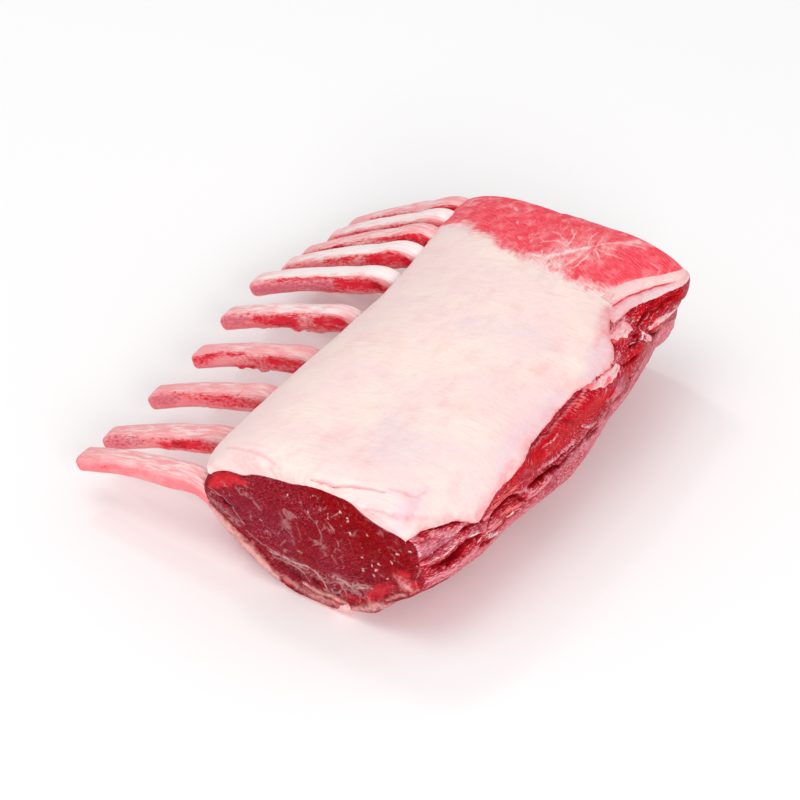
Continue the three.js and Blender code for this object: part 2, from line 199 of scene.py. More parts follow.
scatter = {  # whole numbers that mix up the places and seeds of the noise
    "seed": (7919, 13),
    "sum": 1103515245,
    "cell": 2654435761,
    "last": 2246822519,
    "bits": 0xFFFFFFFF,
}


# value noise on a lattice of the given cell size in mm, from -1 to 1
def grain(points, size, seed):
    p = np.asarray(points, float) / size + 1000.0 + 17.3 * seed
    cell = np.floor(p).astype(np.int64)
    f = p - cell
    f = f * f * (3.0 - 2.0 * f)
    total = 0.0
    for corner in range(2 ** p.shape[-1]):
        weight = 1.0
        mixed = np.full(p.shape[:-1], seed * scatter["seed"][0] + scatter["seed"][1], np.int64)
        for axis in range(p.shape[-1]):
            step = (corner >> axis) & 1
            weight = weight * (f[..., axis] if step else 1.0 - f[..., axis])
            mixed = (mixed * scatter["sum"] + (cell[..., axis] + step) * scatter["cell"]) & scatter["bits"]
            mixed ^= mixed >> 15
        mixed = (mixed * scatter["last"]) & scatter["bits"]
        mixed ^= mixed >> 13
        total = total + weight * (mixed / 2.0**31 - 1.0)
    return total


def cloud(points, size, seed, layers=3):  # several sizes of that noise on top of each other
    total, strength = 0.0, 1.0
    for k in range(layers):
        total = total + strength * grain(points, size / 2**k, seed + k)
        strength *= 0.5
    return total / (2.0 - 2.0 ** (1 - layers))


def bent(flat, size, reach, seed):  # the same points pushed about, to make what follows them uneven
    return flat + reach * np.stack([cloud(flat, size, seed), cloud(flat, size, seed + 5)], -1)


def patches(points, size, seed, low, high):  # 0 where that noise is below low, and 1 above high
    return smooth(cloud(points, size, seed), low, high)


def threadLines(points, size, seed, width):  # fine lines that wander, where the noise passes zero
    return hump(cloud(points, size, seed), width)


def section(x):  # middle of the section across and up, its height above that, and half its width
    u = limited(x / rack["length"])
    midZ = lerp(*rack["midHeight"], u)
    crown = rack["crown"] + rack["crownLift"] * np.sin(np.pi * u)
    turn = (u - rack["bowCentre"]) / (1.0 - rack["bowCentre"])
    midY = rack["offset"] + rack["bow"] * turn * turn
    halfWidth = lerp(*rack["halfWidth"], u) + rack["belly"] * np.sin(np.pi * u)
    return midY, midZ, crown - midZ, halfWidth


def chineRelief(x, w):  # long muscle ridges below the fat
    fade = window(w, -75, -45, 4, 16)
    drift = 9 - 0.09 * x + 3 * np.sin(x / 27)
    ridges = 1.2 * np.cos(np.radians((w - drift - 18) * 10)) - 0.9
    lumps = 0.6 * np.sin(x / 9 + w / 14) + 0.4 * np.sin(x / 17 - w / 9)
    return fade * (ridges + lumps)


def shoulderRelief(x, w):  # the far end's fuller chine side, and the hollow below and before it
    above = window(w, -8, 6, 28, 50)
    below = window(-w, 2, 12, 45, 75)
    before = window(x, 100, 130, 168, 180)
    return rack["shoulderSwell"] * smooth(x, 158, 183) * above - rack["tuck"] * before * below


def crownRelief(x, w):  # slow swelling and hollows of the fat
    fade = window(w, 20, 50, 145, 170)
    return fade * (0.5 * np.sin(x / 26 + w / 30) + 0.35 * np.sin(x / 15 - w / 18))


def ribRelief(x, w):  # fullness of the ribs' side, under the edge of the fat
    return window(w, 110, 155, 185, 215) * along(rack["ribSwell"], x)


def skinRadius(x, angle):  # from the section's middle to the outer skin
    _, midZ, up, halfWidth = section(x)
    u = limited(x / rack["length"])
    fill = smooth(x, 0, rack["bottomRun"])
    power = np.select(
        [angle <= 90, angle <= 180, angle <= 270],
        [lerp(*rack["chineTop"], u), lerp(*rack["ribTop"], u), lerp(*rack["ribBottom"], fill)],
        lerp(*rack["chineBottom"], fill),
    )
    across = np.abs(np.cos(np.radians(angle))) / halfWidth
    rise = np.abs(np.sin(np.radians(angle))) / np.where(angle < 180, up, midZ)
    radius = (across**power + rise**power) ** (-1 / power)
    w = wrapped(angle)
    fromEnd = limited(np.minimum(x, rack["length"] - x) / rack["endRun"])
    onCrown = window(w, -30, 30, 160, 200)
    side, near, far = rack["endRound"]
    rounding = lerp(side, lerp(near, far, u), onCrown) * (1 - fromEnd) ** 2.2
    sides = chineRelief(x, w) + shoulderRelief(x, w) + ribRelief(x, w)
    return radius - rounding + sides + crownRelief(x, w)


# a point below the outer skin, at least the given height above the table
def under(x, angle, depth=0.0, floor=0.0):
    x, angle, depth = np.broadcast_arrays(x, np.mod(angle, 360.0), depth)
    midY, midZ, _, _ = section(x)
    radius = skinRadius(x, angle) - depth
    y = midY - radius * np.cos(np.radians(angle))
    z = midZ + radius * np.sin(np.radians(angle))
    return np.stack([x, y, np.maximum(z, rack["table"] + floor)], -1)


def skinFlat(x, angle):  # the skin laid out flat, in mm
    return np.stack([x, wrapped(angle) * rack["degree"]], -1)


def toCurve(points, path):  # distance from each point to a path, and how far along it lies
    best = np.full(points.shape[:-1], 1e9)
    place = np.zeros(points.shape[:-1])
    path = np.array(path, float)
    for k in range(len(path) - 1):
        step = path[k + 1] - path[k]
        t = limited(((points - path[k]) @ step) / (step @ step))
        gap = np.linalg.norm(points - path[k] - t[..., None] * step, axis=-1)
        nearer = gap < best
        best = np.where(nearer, gap, best)
        place = np.where(nearer, (k + t) / (len(path) - 1), place)
    return best, place


# soft strokes, each (points, width in mm, strength); the strongest counts at each point
def strokes(flat, marks, scale=(1.0, 1.0)):
    total = np.zeros(flat.shape[:-1])
    for path, width, strength in marks:
        gap, place = toCurve(flat, [(a * scale[0], b * scale[1]) for a, b in path])
        taper = np.sin(np.pi * lerp(0.12, 0.88, place)) ** 0.6
        total = np.maximum(total, strength * hump(gap, width * taper))
    return total


onSkin = (1.0, rack["degree"])  # scale of strokes given in mm along the backbone and degrees round it

# ---- meshes


def gridOf(first, second):
    return np.meshgrid(first, second, indexing="ij")


def gridFaces(rows, columns, start=0, closed=False, flip=False):
    i, j = gridOf(np.arange(rows - 1), np.arange(columns if closed else columns - 1))
    a = start + i * columns + j
    b = start + i * columns + (j + 1) % columns
    quads = np.stack([a, a + columns, b + columns, b], -1).reshape(-1, 4)
    return quads[:, ::-1] if flip else quads


def shellFaces(rows, columns):  # an upper and a lower sheet over one grid, with walls round them
    below = rows * columns
    faces = [gridFaces(rows, columns), gridFaces(rows, columns, below, flip=True)]
    for line, flip in (
        (np.arange(columns), False),
        ((rows - 1) * columns + np.arange(columns), True),
        (np.arange(rows) * columns, True),
        (np.arange(rows) * columns + columns - 1, False),
    ):
        wall = np.stack([line[:-1], line[1:], line[1:] + below, line[:-1] + below], -1)
        faces.append(wall[:, ::-1] if flip else wall)
    return faces


def fibreMap(first, second, third=0.0):  # where each point lies along and across the fibres, in mm
    return np.stack([first, second, 0 * first + third], -1)


def pickMasks(masks, count, order):  # each mask's values at the points with these numbers
    return {key: np.asarray(values, float).reshape(count, -1)[order] for key, values in masks.items()}


# faces is a list of arrays, of which the first smoothParts are shaded smooth and the others flat
def makePiece(name, points, faces, material, masks, replaces=(), smoothParts=3):
    points = (np.asarray(points, float).reshape(-1, 3) + rack["place"]) / 1000.0
    mesh = bpy.data.meshes.new(name)
    mesh.vertices.add(len(points))
    mesh.vertices.foreach_set("co", points.ravel())
    sizes = np.concatenate([np.full(len(f), f.shape[1]) for f in faces])
    corners = np.concatenate([f.ravel() for f in faces])
    mesh.loops.add(len(corners))
    mesh.loops.foreach_set("vertex_index", corners)
    mesh.polygons.add(len(sizes))
    mesh.polygons.foreach_set("loop_start", np.concatenate([[0], np.cumsum(sizes)[:-1]]))
    mesh.polygons.foreach_set("loop_total", sizes)
    isSmooth = np.concatenate([np.full(len(f), k < smoothParts) for k, f in enumerate(faces)])
    mesh.polygons.foreach_set("use_smooth", isSmooth)
    for key, values in masks.items():
        kind, field = ("FLOAT_VECTOR", "vector") if values.shape[-1] == 3 else ("FLOAT", "value")
        mesh.attributes.new(key, kind, "POINT").data.foreach_set(field, values.ravel())
    mesh.update(calc_edges=True)
    mesh.validate()
    mesh.materials.append(material)
    piece = addObject(name, mesh)
    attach(piece, "root")
    if replaces:
        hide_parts(*replaces)
    print("made", name, sum(sizes - 2), "triangles")


def shellPiece(name, upper, lower, material, masks, replaces=()):
    rows, columns = upper.shape[:2]
    count = rows * columns
    points = np.concatenate([upper.reshape(-1, 3), lower.reshape(-1, 3)])
    doubled = pickMasks(masks, count, np.tile(np.arange(count), 2))
    makePiece(name, points, shellFaces(rows, columns), material, doubled, replaces, 2)


# a tube of rings closed by a point at each end
def ringPiece(name, rings, ends, material, masks, replaces=()):
    rows, columns = rings.shape[:2]
    count = rows * columns
    points = np.concatenate([rings.reshape(-1, 3), ends])
    ended = {}
    for key, values in pickMasks(masks, count, slice(None)).items():
        tips = [values[:columns].mean(axis=0), values[-columns:].mean(axis=0)]
        ended[key] = np.concatenate([values, tips])
    j = np.arange(columns)
    after = (j + 1) % columns
    first = np.stack([np.full(columns, count), after, j], -1)
    second = np.stack([np.full(columns, count + 1), count - columns + j, count - columns + after], -1)
    faces = [gridFaces(rows, columns, closed=True, flip=True), first, second]
    makePiece(name, points, faces, material, ended, replaces)


# ---- materials


# Noise whose blotches are about size mm across. With a length it follows the piece's own fibres and
# its blotches are that many times as long, and without one it lies in space.
def mottle(tree, size, long=None, detail=3.0, warp=0.0):
    if long:
        coordinates = addNode(tree, "ShaderNodeAttribute", attribute_name="fibre").outputs["Vector"]
        scale = (1.0 / size / long, 1.0 / size, 1.0 / size)
    else:
        coordinates = addNode(tree, "ShaderNodeTexCoord").outputs["Object"]
        scale = [1000.0 / size] * 3
    scaled = addNode(tree, "ShaderNodeMapping", {"Vector": coordinates, "Scale": scale}).outputs[0]
    inputs = {"Vector": scaled, "Scale": 1.0, "Detail": detail, "Roughness": 0.6, "Distortion": warp}
    return addNode(tree, "ShaderNodeTexNoise", inputs).outputs["Fac"]


# How much of a layer shows, from one part of what a finish says of it:
#   "mask"                              as the piece's mask says
#   (name, low, high)                   from 0 to 1 where the mask or pattern goes from low to high
#   (name, low, high, least, most)      the same, from least to most
#   (mask, pattern, reach, soft)        the mask with a torn edge that follows the pattern
def shareOf(tree, patterns, part):
    name, *rest = (part,) if isinstance(part, str) else part
    if name in patterns:
        value = patterns[name]
    else:
        value = addNode(tree, "ShaderNodeAttribute", attribute_name=name).outputs["Fac"]
    if not rest:
        return value
    if isinstance(rest[0], str):
        pattern, reach, soft = rest
        pushed = shareOf(tree, patterns, (pattern, 0.3, 0.7, -reach, reach))
        value = addNode(tree, "ShaderNodeMath", {0: value, 1: pushed}, operation="ADD").outputs[0]
        rest = (soft, 1 - soft)
    low, high, least, most = (*rest, 0.0, 1.0)[:4]
    inputs = {0: value, 1: low, 2: high, 3: least, 4: most}
    return addNode(tree, "ShaderNodeMapRange", inputs, interpolation_type="SMOOTHSTEP").outputs[0]


# Layers of colour over the first one. Each is a hue, or a hue with layers of its own, and the parts
# that are multiplied to say how much of it shows.
def paint(tree, hues, patterns, hue, layers=()):
    below = linear(hues[hue])
    for over, *parts in layers:
        above = paint(tree, hues, patterns, *([over] if isinstance(over, str) else over))
        share = shareOf(tree, patterns, parts[0])
        for part in parts[1:]:
            factors = {0: share, 1: shareOf(tree, patterns, part)}
            share = addNode(tree, "ShaderNodeMath", factors, operation="MULTIPLY").outputs[0]
        below = addNode(tree, "ShaderNodeMix", {0: share, 6: below, 7: above}, data_type="RGBA").outputs[2]
    return below


def makeMaterial(name, finish):
    material = bpy.data.materials.new(name)
    material.use_nodes = True
    tree = material.node_tree
    shader = tree.nodes["Principled BSDF"]
    for key, value in finish["shader"].items():
        shader.inputs[key].default_value = value
    patterns = {key: mottle(tree, **settings) for key, settings in finish["patterns"].items()}
    tree.links.new(paint(tree, finish["hues"], patterns, *finish["layers"]), shader.inputs["Base Color"])
    if "rough" in finish:
        tree.links.new(shareOf(tree, patterns, finish["rough"]), shader.inputs["Roughness"])
    surface = {}
    for key, depth in finish["bumps"]:
        inputs = {"Height": patterns[key], "Strength": 1.0, "Distance": depth / 1000, **surface}
        surface = {"Normal": addNode(tree, "ShaderNodeBump", inputs).outputs["Normal"]}
    tree.links.new(surface["Normal"], shader.inputs["Normal"])
    return material


# Lamb back fat, skinned with a knife: firm, pale and waxy, so light sinks in a little, it has a
# dull moist sheen, and fine fibres run across it.
fatFinish = {
    "hues": {
        "base": "#fbdfdc",
        "blush": "#eea0a4",  # where red meat lies close under it
        # cool is also painted shade in the dent by the first cut
        "cool": "#ead7de",  # where it is thin over grey membrane
        "cream": "#fde6dd",
        "veil": "#f85868",  # the cap muscle showing through its thin end
        "light": "#fb949c",
    },
    "patterns": {  # size in mm, and how many times as long as wide
        "clouds": {"size": 30},
        "patches": {"size": 14},
        "sheen": {"size": 6},
        "swellings": {"size": 5},
        "specks": {"size": 1.6},
        "pores": {"size": 1.2},
        "streaks": {"size": 1.2, "long": 16},
        "wisps": {"size": 1.1, "long": 4},
    },
    "layers": ("base", (
        ("cream", ("clouds", 0.42, 0.62)),
        ("cool", "cool"),
        ("blush", ("patches", 0.42, 0.68), ("streaks", 0.45, 0.7, 0.0, 0.2)),
        ("blush", "blush", ("specks", 0.3, 0.65, 0.6, 1.0)),
        (("veil", (("light", ("swellings", 0.45, 0.72, 0.0, 0.7)),)), ("red", "wisps", 0.16, 0.0)),
    )),
    "rough": ("sheen", 0.35, 0.65, 0.36, 0.55),
    "bumps": (("swellings", 0.45), ("pores", 0.08), ("streaks", 0.04)),  # depths in mm
    "shader": {
        "IOR": 1.45,
        "Specular IOR Level": 0.25,
        "Subsurface Weight": 0.12,
        "Subsurface Scale": 0.003,
        "Subsurface Radius": (1.0, 0.6, 0.5),
    },
}

# The thin muscle over the shoulder end, peeled bare: moist bright pink-red fibres under a glassy
# film, with white threads of connective tissue spread over them.
capFinish = {
    "hues": {"red": "#fc5c6c", "deep": "#ee3a48", "light": "#fb949c", "white": "#fbdfdc"},
    "patterns": {
        "fibres": {"size": 0.6, "long": 9},
        "flecks": {"size": 0.45, "long": 6, "detail": 2.0},
        "wisps": {"size": 1.1, "long": 4},
        "patches": {"size": 5},
        "swellings": {"size": 3},
    },
    "layers": ("deep", (
        ("red", ("fibres", 0.4, 0.6)),
        ("light", ("patches", 0.45, 0.72, 0.0, 0.7)),
        ("light", ("flecks", 0.55, 0.7, 0.0, 0.6)),
        ("deep", "dark"),
        ("white", "thread"),
        ("white", ("white", "wisps", 0.16, 0.0)),
    )),
    "bumps": (("fibres", 0.2), ("swellings", 0.25)),
    "shader": {
        "Roughness": 0.4,
        "IOR": 1.4,
        "Specular IOR Level": 0.12,
        "Specular Tint": (1.0, 0.6, 0.6, 1.0),
        "Subsurface Weight": 0.05,
        "Subsurface Scale": 0.002,
        "Subsurface Radius": (1.0, 0.3, 0.25),
    },
}

wetMeat = {
    "Roughness": 0.3,
    "IOR": 1.4,
    "Specular IOR Level": 0.05,
    "Specular Tint": (1.0, 0.5, 0.5, 1.0),
    "Subsurface Weight": 0.03,
    "Subsurface Scale": 0.002,
    "Subsurface Radius": (1.0, 0.25, 0.2),
}

# Raw loin where the knife has laid its side open: wet torn fibres in shades of red along the
# backbone, fine pale threads pulled out of them that are partly painted highlights of the wet glints
# along the fibres, films of pink tissue, and gaps between muscles painted dark and near black as shade.
sideFinish = {
    "hues": {
        "mid": "#b41c2e",
        "bright": "#ca0014",
        # dark is darker fibres and also painted shade in the gaps and grooves; gapShade is painted shade deep
        # in the gaps
        "dark": "#8a000e",
        "gapShade": "#34000a",
        "pink": "#e28a96",
        "salmon": "#ee6a66",
        "mauve": "#b4687e",
        # pale threads of tissue, and in part painted highlights: the wet glints along the fibres
        "thread": "#f0a0a6",
        "white": "#f8e0e0",
    },
    "patterns": {
        "fibres": {"size": 0.7, "long": 5},
        "fine": {"size": 0.36, "long": 5, "detail": 2.0},
        "swellings": {"size": 1.6},
    },
    "layers": ("mid", (
        ("bright", ("bright", "fibres", 0.3, 0.2)),
        ("mauve", "mauve"),
        ("salmon", ("salmon", "fibres", 0.3, 0.2)),
        ("pink", ("film", "fine", 0.3, 0.15)),
        ("dark", ("fibres", 0.48, 0.34, 0.0, 0.7)),
        # pale threads, partly painted highlights of the wet glints along the fibres
        ("thread", ("fine", 0.53, 0.68), "thread"),
        ("white", ("white", "fine", 0.25, 0.2)),
        # painted shade: darker, then near black, where the dark mask marks gaps and grooves
        ("dark", ("dark", 0.0, 0.55)),
        ("gapShade", ("dark", 0.45, 0.85)),
    )),
    "bumps": (("fibres", 0.5), ("swellings", 0.4)),
    "shader": wetMeat,
}

# The eye of the loin, cut straight across its fibres: a smooth wet dark crimson face with the ends
# of fibres as a fine grain of pale specks, painted highlights that stand for the wet glints on them,
# and flecks and short threads of marbling.
cutFinish = {
    "hues": {
        "red": "#88081a",
        "bright": "#8c0008",
        "purple": "#861a32",
        "dark": "#5a0010",
        "pink": "#f0b0aa",
        "lobe": "#d62a34",
        # grain: painted highlight, the pale wet glints on the cut fibre ends
        "grain": "#d06a7c",
        "white": "#f4d2d2",
    },
    "patterns": {
        "bundles": {"size": 1.3, "long": 3, "detail": 4.0},
        "fine": {"size": 0.42, "long": 3, "warp": 0.6},
        "crumbs": {"size": 1.4},
    },
    "layers": ("red", (
        ("bright", "bright"),
        ("purple", "purple"),
        ("dark", ("bundles", 0.5, 0.34, 0.0, 0.45)),
        ("lobe", ("lobe", "bundles", 0.2, -0.1)),
        # painted highlights: pale specks on the fibre ends, in patches as paintedGlints says
        ("grain", ("fine", 0.48, 0.72, 0.0, 0.7), "paintedGlints"),
        ("dark", ("dark", "bundles", 0.25, 0.2)),
        ("pink", ("pink", "crumbs", 0.12, 0.0)),
        ("bright", "redLine"),
        ("white", "white"),
    )),
    "bumps": (("bundles", 0.35), ("fine", 0.12)),
    "shader": wetMeat,
}

# A rib scraped by hand: smooth pale bone skin on its broad face, and thin red remnants of the
# meat between the ribs left along its sides.
boneFinish = {
    "hues": {
        "bone": "#fba8aa",
        "pale": "#fff2f0",
        "pink": "#fa828a",
        "red": "#ea2238",
        "dark": "#bc0c20",
        "mauve": "#dc6c7e",
    },
    "patterns": {
        "lines": {"size": 0.8, "long": 9},
        "torn": {"size": 0.6, "long": 3},
        "swellings": {"size": 2.2},
    },
    "layers": ("bone", (
        ("pale", ("lines", 0.42, 0.66, 0.0, 0.55)),
        ("pink", ("pink", "lines", 0.25, 0.08)),
        ("mauve", ("mauve", "torn", 0.3, 0.1)),
        ("red", ("red", "torn", 0.25, 0.15)),
        ("dark", ("dark", "torn", 0.25, 0.15)),
        ("pale", ("pale", "lines", 0.25, 0.0)),
    )),
    "bumps": (("lines", 0.3), ("torn", 0.25), ("swellings", 0.3)),
    "shader": {
        "Roughness": 0.36,
        "IOR": 1.45,
        "Specular IOR Level": 0.15,
        "Specular Tint": (1.0, 0.7, 0.7, 1.0),
        "Subsurface Weight": 0.05,
        "Subsurface Scale": 0.002,
        "Subsurface Radius": (1.0, 0.4, 0.35),
    },
}

backFatMaterial = makeMaterial("backFat", fatFinish)
capFleshMaterial = makeMaterial("capFlesh", capFinish)
loinSideMaterial = makeMaterial("loinSide", sideFinish)
loinCutMaterial = makeMaterial("loinCut", cutFinish)
ribBoneMaterial = makeMaterial("ribBone", boneFinish)
print("mixed the materials")

# ---- layers of the crown

fatCap = {
    "edge": (
        (0, 15.7), (6, 18.0), (12, 16.6), (20, 12.4), (29, 4.9), (34, 6.8), (40, 11), (54, 13.4),
        (64, 16.6), (95, 17.8), (120, 14.4), (128, 20.6), (141, 25.6), (185, 25.6),
    ),  # mm, degrees
    "ribAngle": 172.0,
    "end": (141.0, 163.0),
    "thickness": 4.6,
    "edgeThickness": 1.5,
    "endThickness": 0.25,
    "endTaper": 16.0,
    "lip": 0.9,
    "lipRun": (3.5, 10.0),
    "rows": (26, 204),  # near the first cut and beyond it
    "nearShare": 0.08,
    "columns": 200,
    "solid": (  # degrees, and how far along the fat still hides all that lies below it
        (22, 152), (27, 149), (33, 141), (60, 141), (100, 143),
        (120, 145), (140, 148), (160, 155), (175, 161),
    ),
    "bare": (  # degrees, and where no fat is left
        (22, 158), (27, 155), (34, 144), (45, 143), (58, 147), (66, 158),
        (75, 155.5), (84, 152), (111, 151), (140, 154), (161, 158), (175, 163),
    ),
    "front": (
        (-90, 1.2), (-40, 0.6), (0, 0.2), (15, 0.3), (19, 2.2), (24, 5.6), (31, 6.3), (38, 5.0), (48, 2.6),
        (62, 1.7), (76, 1.8), (97, 2.6), (120, 4.6), (140, 6.4), (150, 7.6), (158, 9), (163, 6.1), (168, 3.8),
        (173, 2.6), (184, 1.6), (200, 1.2), (270, 1.2),
    ),  # degrees, depth of the fat where the first cut shows it
    "creases": (  # (mm, degrees), width in mm, strength, as are spots, grey and threads
        (((1.4, 92), (1.6, 80), (2.4, 68), (4.2, 59), (6, 51), (8, 42)), 0.5, 1.0),
        (((0.4, 40), (2, 33), (3.6, 27)), 0.5, 0.5),
        (((10, 42), (12, 36), (14, 29)), 1.1, 0.4),
        (((3.5, 30), (6, 25), (10, 22)), 1.4, 0.45),
        (((2, 128), (4, 142), (5, 158)), 0.8, 0.45),
        (((14, 31), (18, 30.5)), 0.6, 0.35),
    ),
    "spots": (
        (((56, 60), (58, 48), (57, 42)), 3.5, 0.22),
        (((92, 36), (97, 31)), 3.0, 0.28),
        (((60, 120), (85, 138)), 6.0, 0.14),
        (((20, 110), (23, 96)), 4.0, 0.12),
        (((28, 9), (33, 9), (37, 12)), 4.0, 0.75),
        (((118, 24), (130, 25), (139, 28)), 2.0, 0.4),
        (((126, 21.5), (133, 22.5), (141, 24)), 1.2, 0.6),
        (((4, 24), (10, 27), (12, 34)), 2.0, 0.35),
        (((36, 9), (42, 14), (52, 17)), 2.2, 0.4),
    ),
    "grey": (
        (((22, 62), (30, 48), (40, 84)), 12.0, 0.5),
        (((98, 102), (103, 70), (108, 36)), 7.0, 0.4),
        (((104, 18), (114, 19), (124, 20), (134, 26)), 5.0, 0.9),
        # painted shade: the grey in the dent by the first cut
        (((3, 24), (9, 30), (17, 30)), 4.0, 0.8),
        (((44, 17), (60, 21), (90, 22)), 4.0, 0.8),
    ),
}
capMuscle = {
    "overlap": 10.0,
    "edge": ((130, 33), (141, 31), (150, 29), (160, 24.2), (170, 18), (185, 10.5)),
    "end": 1.0,
    "depths": (2.6, 5.1),  # of its underside, at its lower edge and inwards
    "rows": 130,
    "columns": 330,
    "milky": ((((150, 84), (158, 72), (166, 52), (172, 46)), 9.0, 1.0),),
    "threads": (
        (((150, 104), (150.6, 92), (152, 82), (156, 72), (160, 63), (165, 54.5)), 1.6, 0.85),
        (((150, 61), (156, 58), (161, 57), (166, 52.5)), 1.2, 0.7),
        (((148, 55), (155, 53), (160, 51), (165, 50.5)), 0.5, 0.8),
        (((165.5, 52), (168.5, 49), (172, 43), (175, 37), (178, 28)), 0.5, 0.9),
        (((165.5, 53), (168, 56), (172, 56.5), (176, 54)), 0.4, 0.75),
        (((165.5, 50), (163.5, 46), (161.5, 43)), 0.4, 0.8),
        (((165.8, 49), (166, 43), (166.6, 33)), 0.35, 0.65),
        (((165.5, 50), (169.5, 44), (170, 38)), 0.3, 0.55),
        (((161, 71.5), (164, 71), (168, 71.3), (172, 72.6)), 0.6, 0.95),
        (((161, 71.5), (162.6, 77), (163, 84), (161.6, 93), (160.4, 100)), 0.5, 0.75),
        (((162, 71.5), (160.5, 67), (159.5, 63)), 0.5, 0.7),
        (((163, 71), (164.5, 76), (166.6, 82)), 0.35, 0.6),
        (((165, 80), (167, 86), (168, 92), (168, 98)), 0.5, 0.75),
        (((167, 86), (171, 86), (175, 85)), 0.3, 0.5),
        (((168, 71), (172, 78), (171, 75)), 0.4, 0.6),
        (((153, 90.5), (155, 92)), 0.6, 0.95),
        (((157.6, 111.5), (159.4, 111.5)), 0.6, 0.8),
        (((166, 133), (167.4, 134)), 0.7, 0.6),
        (((161, 157), (163, 161)), 0.9, 0.55),
        (((174.5, 141), (176, 143)), 0.8, 0.55),
        (((176, 96), (180, 84), (181, 66)), 1.8, 0.3),
        (((176, 36), (180, 31), (183, 24)), 1.2, 0.75),
    ),
}


def fatEdge(x):
    return along(fatCap["edge"], x)


def fatEnd(across):
    return lerp(*fatCap["end"], across**1.6) + 1.5 * np.sin(across * 11)


def capEdge(x):
    return along(capMuscle["edge"], x)


def fatShare(x, angle):  # how white the skin is: 1 on the fat, 0 on the bare cap muscle
    flat = skinFlat(x, angle)
    w = wrapped(angle)
    wisps = 1.5 * cloud(flat / (2.5, 1.0), 2.0, 11) + 1.6 * cloud(flat, 8.0, 17)
    solid = along(fatCap["solid"], w) - 1.5
    bare = np.maximum(along(fatCap["bare"], w), solid + 8) + 5
    share = 1 - smooth(x + wisps, solid, bare)
    holes = patches(flat, 4.5, 19, 0.0, 0.5) * smooth(x, solid + 1, solid + 4)
    return limited(share - 0.4 * holes)


def makeFatCap():  # u runs along the rack, and v from the lower edge over the crown to the ribs
    near = np.linspace(0, fatCap["nearShare"], fatCap["rows"][0], endpoint=False)
    lengths = np.concatenate([near, np.linspace(fatCap["nearShare"], 1, fatCap["rows"][1])])
    u, v = gridOf(lengths, np.linspace(0, 1, fatCap["columns"]) ** 1.25)
    end = fatEnd(v) + 1.0
    x = end * u
    line = np.stack([x, 0 * x], -1)
    ragged = 0.45 + 0.8 * smooth(x, 98, 110)
    low = fatEdge(x) + 0.6 * cloud(line, 6, 3) + ragged * cloud(line, 2.4, 5)
    angle = lerp(low, fatCap["ribAngle"], v)
    flat = skinFlat(x, angle)
    fromEdge = (angle - low) * rack["degree"]
    run = lerp(*fatCap["lipRun"], 1 - smooth(v, 0.1, 0.45))
    lip = fatCap["lip"] * (1 - smooth(x, 0.4 * run, run)) * (1 - smooth(v, 0.55, 0.8))
    crease = strokes(bent(flat, 6, 0.5, 21), fatCap["creases"], onSkin)
    edgeRoll = 0.8 * roll(fromEdge, 2.0)
    ribRoll = 1.5 * roll((fatCap["ribAngle"] - angle) * rack["degree"], 2.5)
    frontRoll = 0.5 * roll(x, 1.2)
    wrinkles = 0.35 * cloud(flat / (1.0, 3.0), 2.5, 9) * (1 - smooth(x, 4, 16))
    dents = 0.3 * cloud(flat, 17, 7) + 0.1 * cloud(flat / (1.0, 2.5), 4, 9) + wrinkles
    farRoll = lerp(0.1, 0.6, smooth(v, 0.03, 0.07)) * smooth(x, end - 3, end)
    depth = lip + 0.9 * crease + edgeRoll + ribRoll + frontRoll + farRoll - dents
    full = fatCap["thickness"] * (1 - 0.35 * smooth(v, 0.8, 1))
    full = lerp(fatCap["edgeThickness"], full, smooth(v, 0, 0.22))
    full = lerp(along(fatCap["front"], angle) + 0.6, full, smooth(x, 1.5, 9))
    thick = lerp(fatCap["endThickness"], full, smooth(end - x, 0, fatCap["endTaper"]))
    upper = under(x, angle, depth)
    lower = under(x, angle, np.maximum(depth + 0.2, thick + 0.2))
    lower[0, :, 0] += 0.25  # the underside starts a little behind the cut face
    spots = strokes(bent(flat, 9, 2.0, 25), fatCap["spots"], onSkin)
    blush = 0.6 * hump(fromEdge, 3.0) * (0.9 + 0.8 * cloud(flat, 5, 13))
    blush = blush + 0.5 * np.exp(-fromEdge / 9) * patches(flat, 10, 15, -0.6, 0.4)
    blush = blush + spots + 1.0 * crease + 0.4 * (1 - smooth(x, 0, 4)) * patches(flat, 3, 19, -0.3, 0.5)
    blush = blush + 0.16 * patches(flat, 7, 23, 0.1, 0.7)
    sheer = 1.4 + 2.6 * smooth(x, 104, 118)
    thin = 0.55 * (1 - smooth(fromEdge, 0.2, sheer)) * patches(flat, 2.5, 27, -0.3, 0.4)
    masks = {
        "cool": strokes(bent(flat, 14, 4.0, 29), fatCap["grey"], onSkin),
        "blush": limited(blush),
        "red": limited(1 - fatShare(x, angle) + thin),
        "fibre": fibreMap(flat[..., 1], flat[..., 0] + 0.15 * flat[..., 1]),
    }
    shellPiece("fatCap", upper, lower, backFatMaterial, masks, ["fat_cap"])


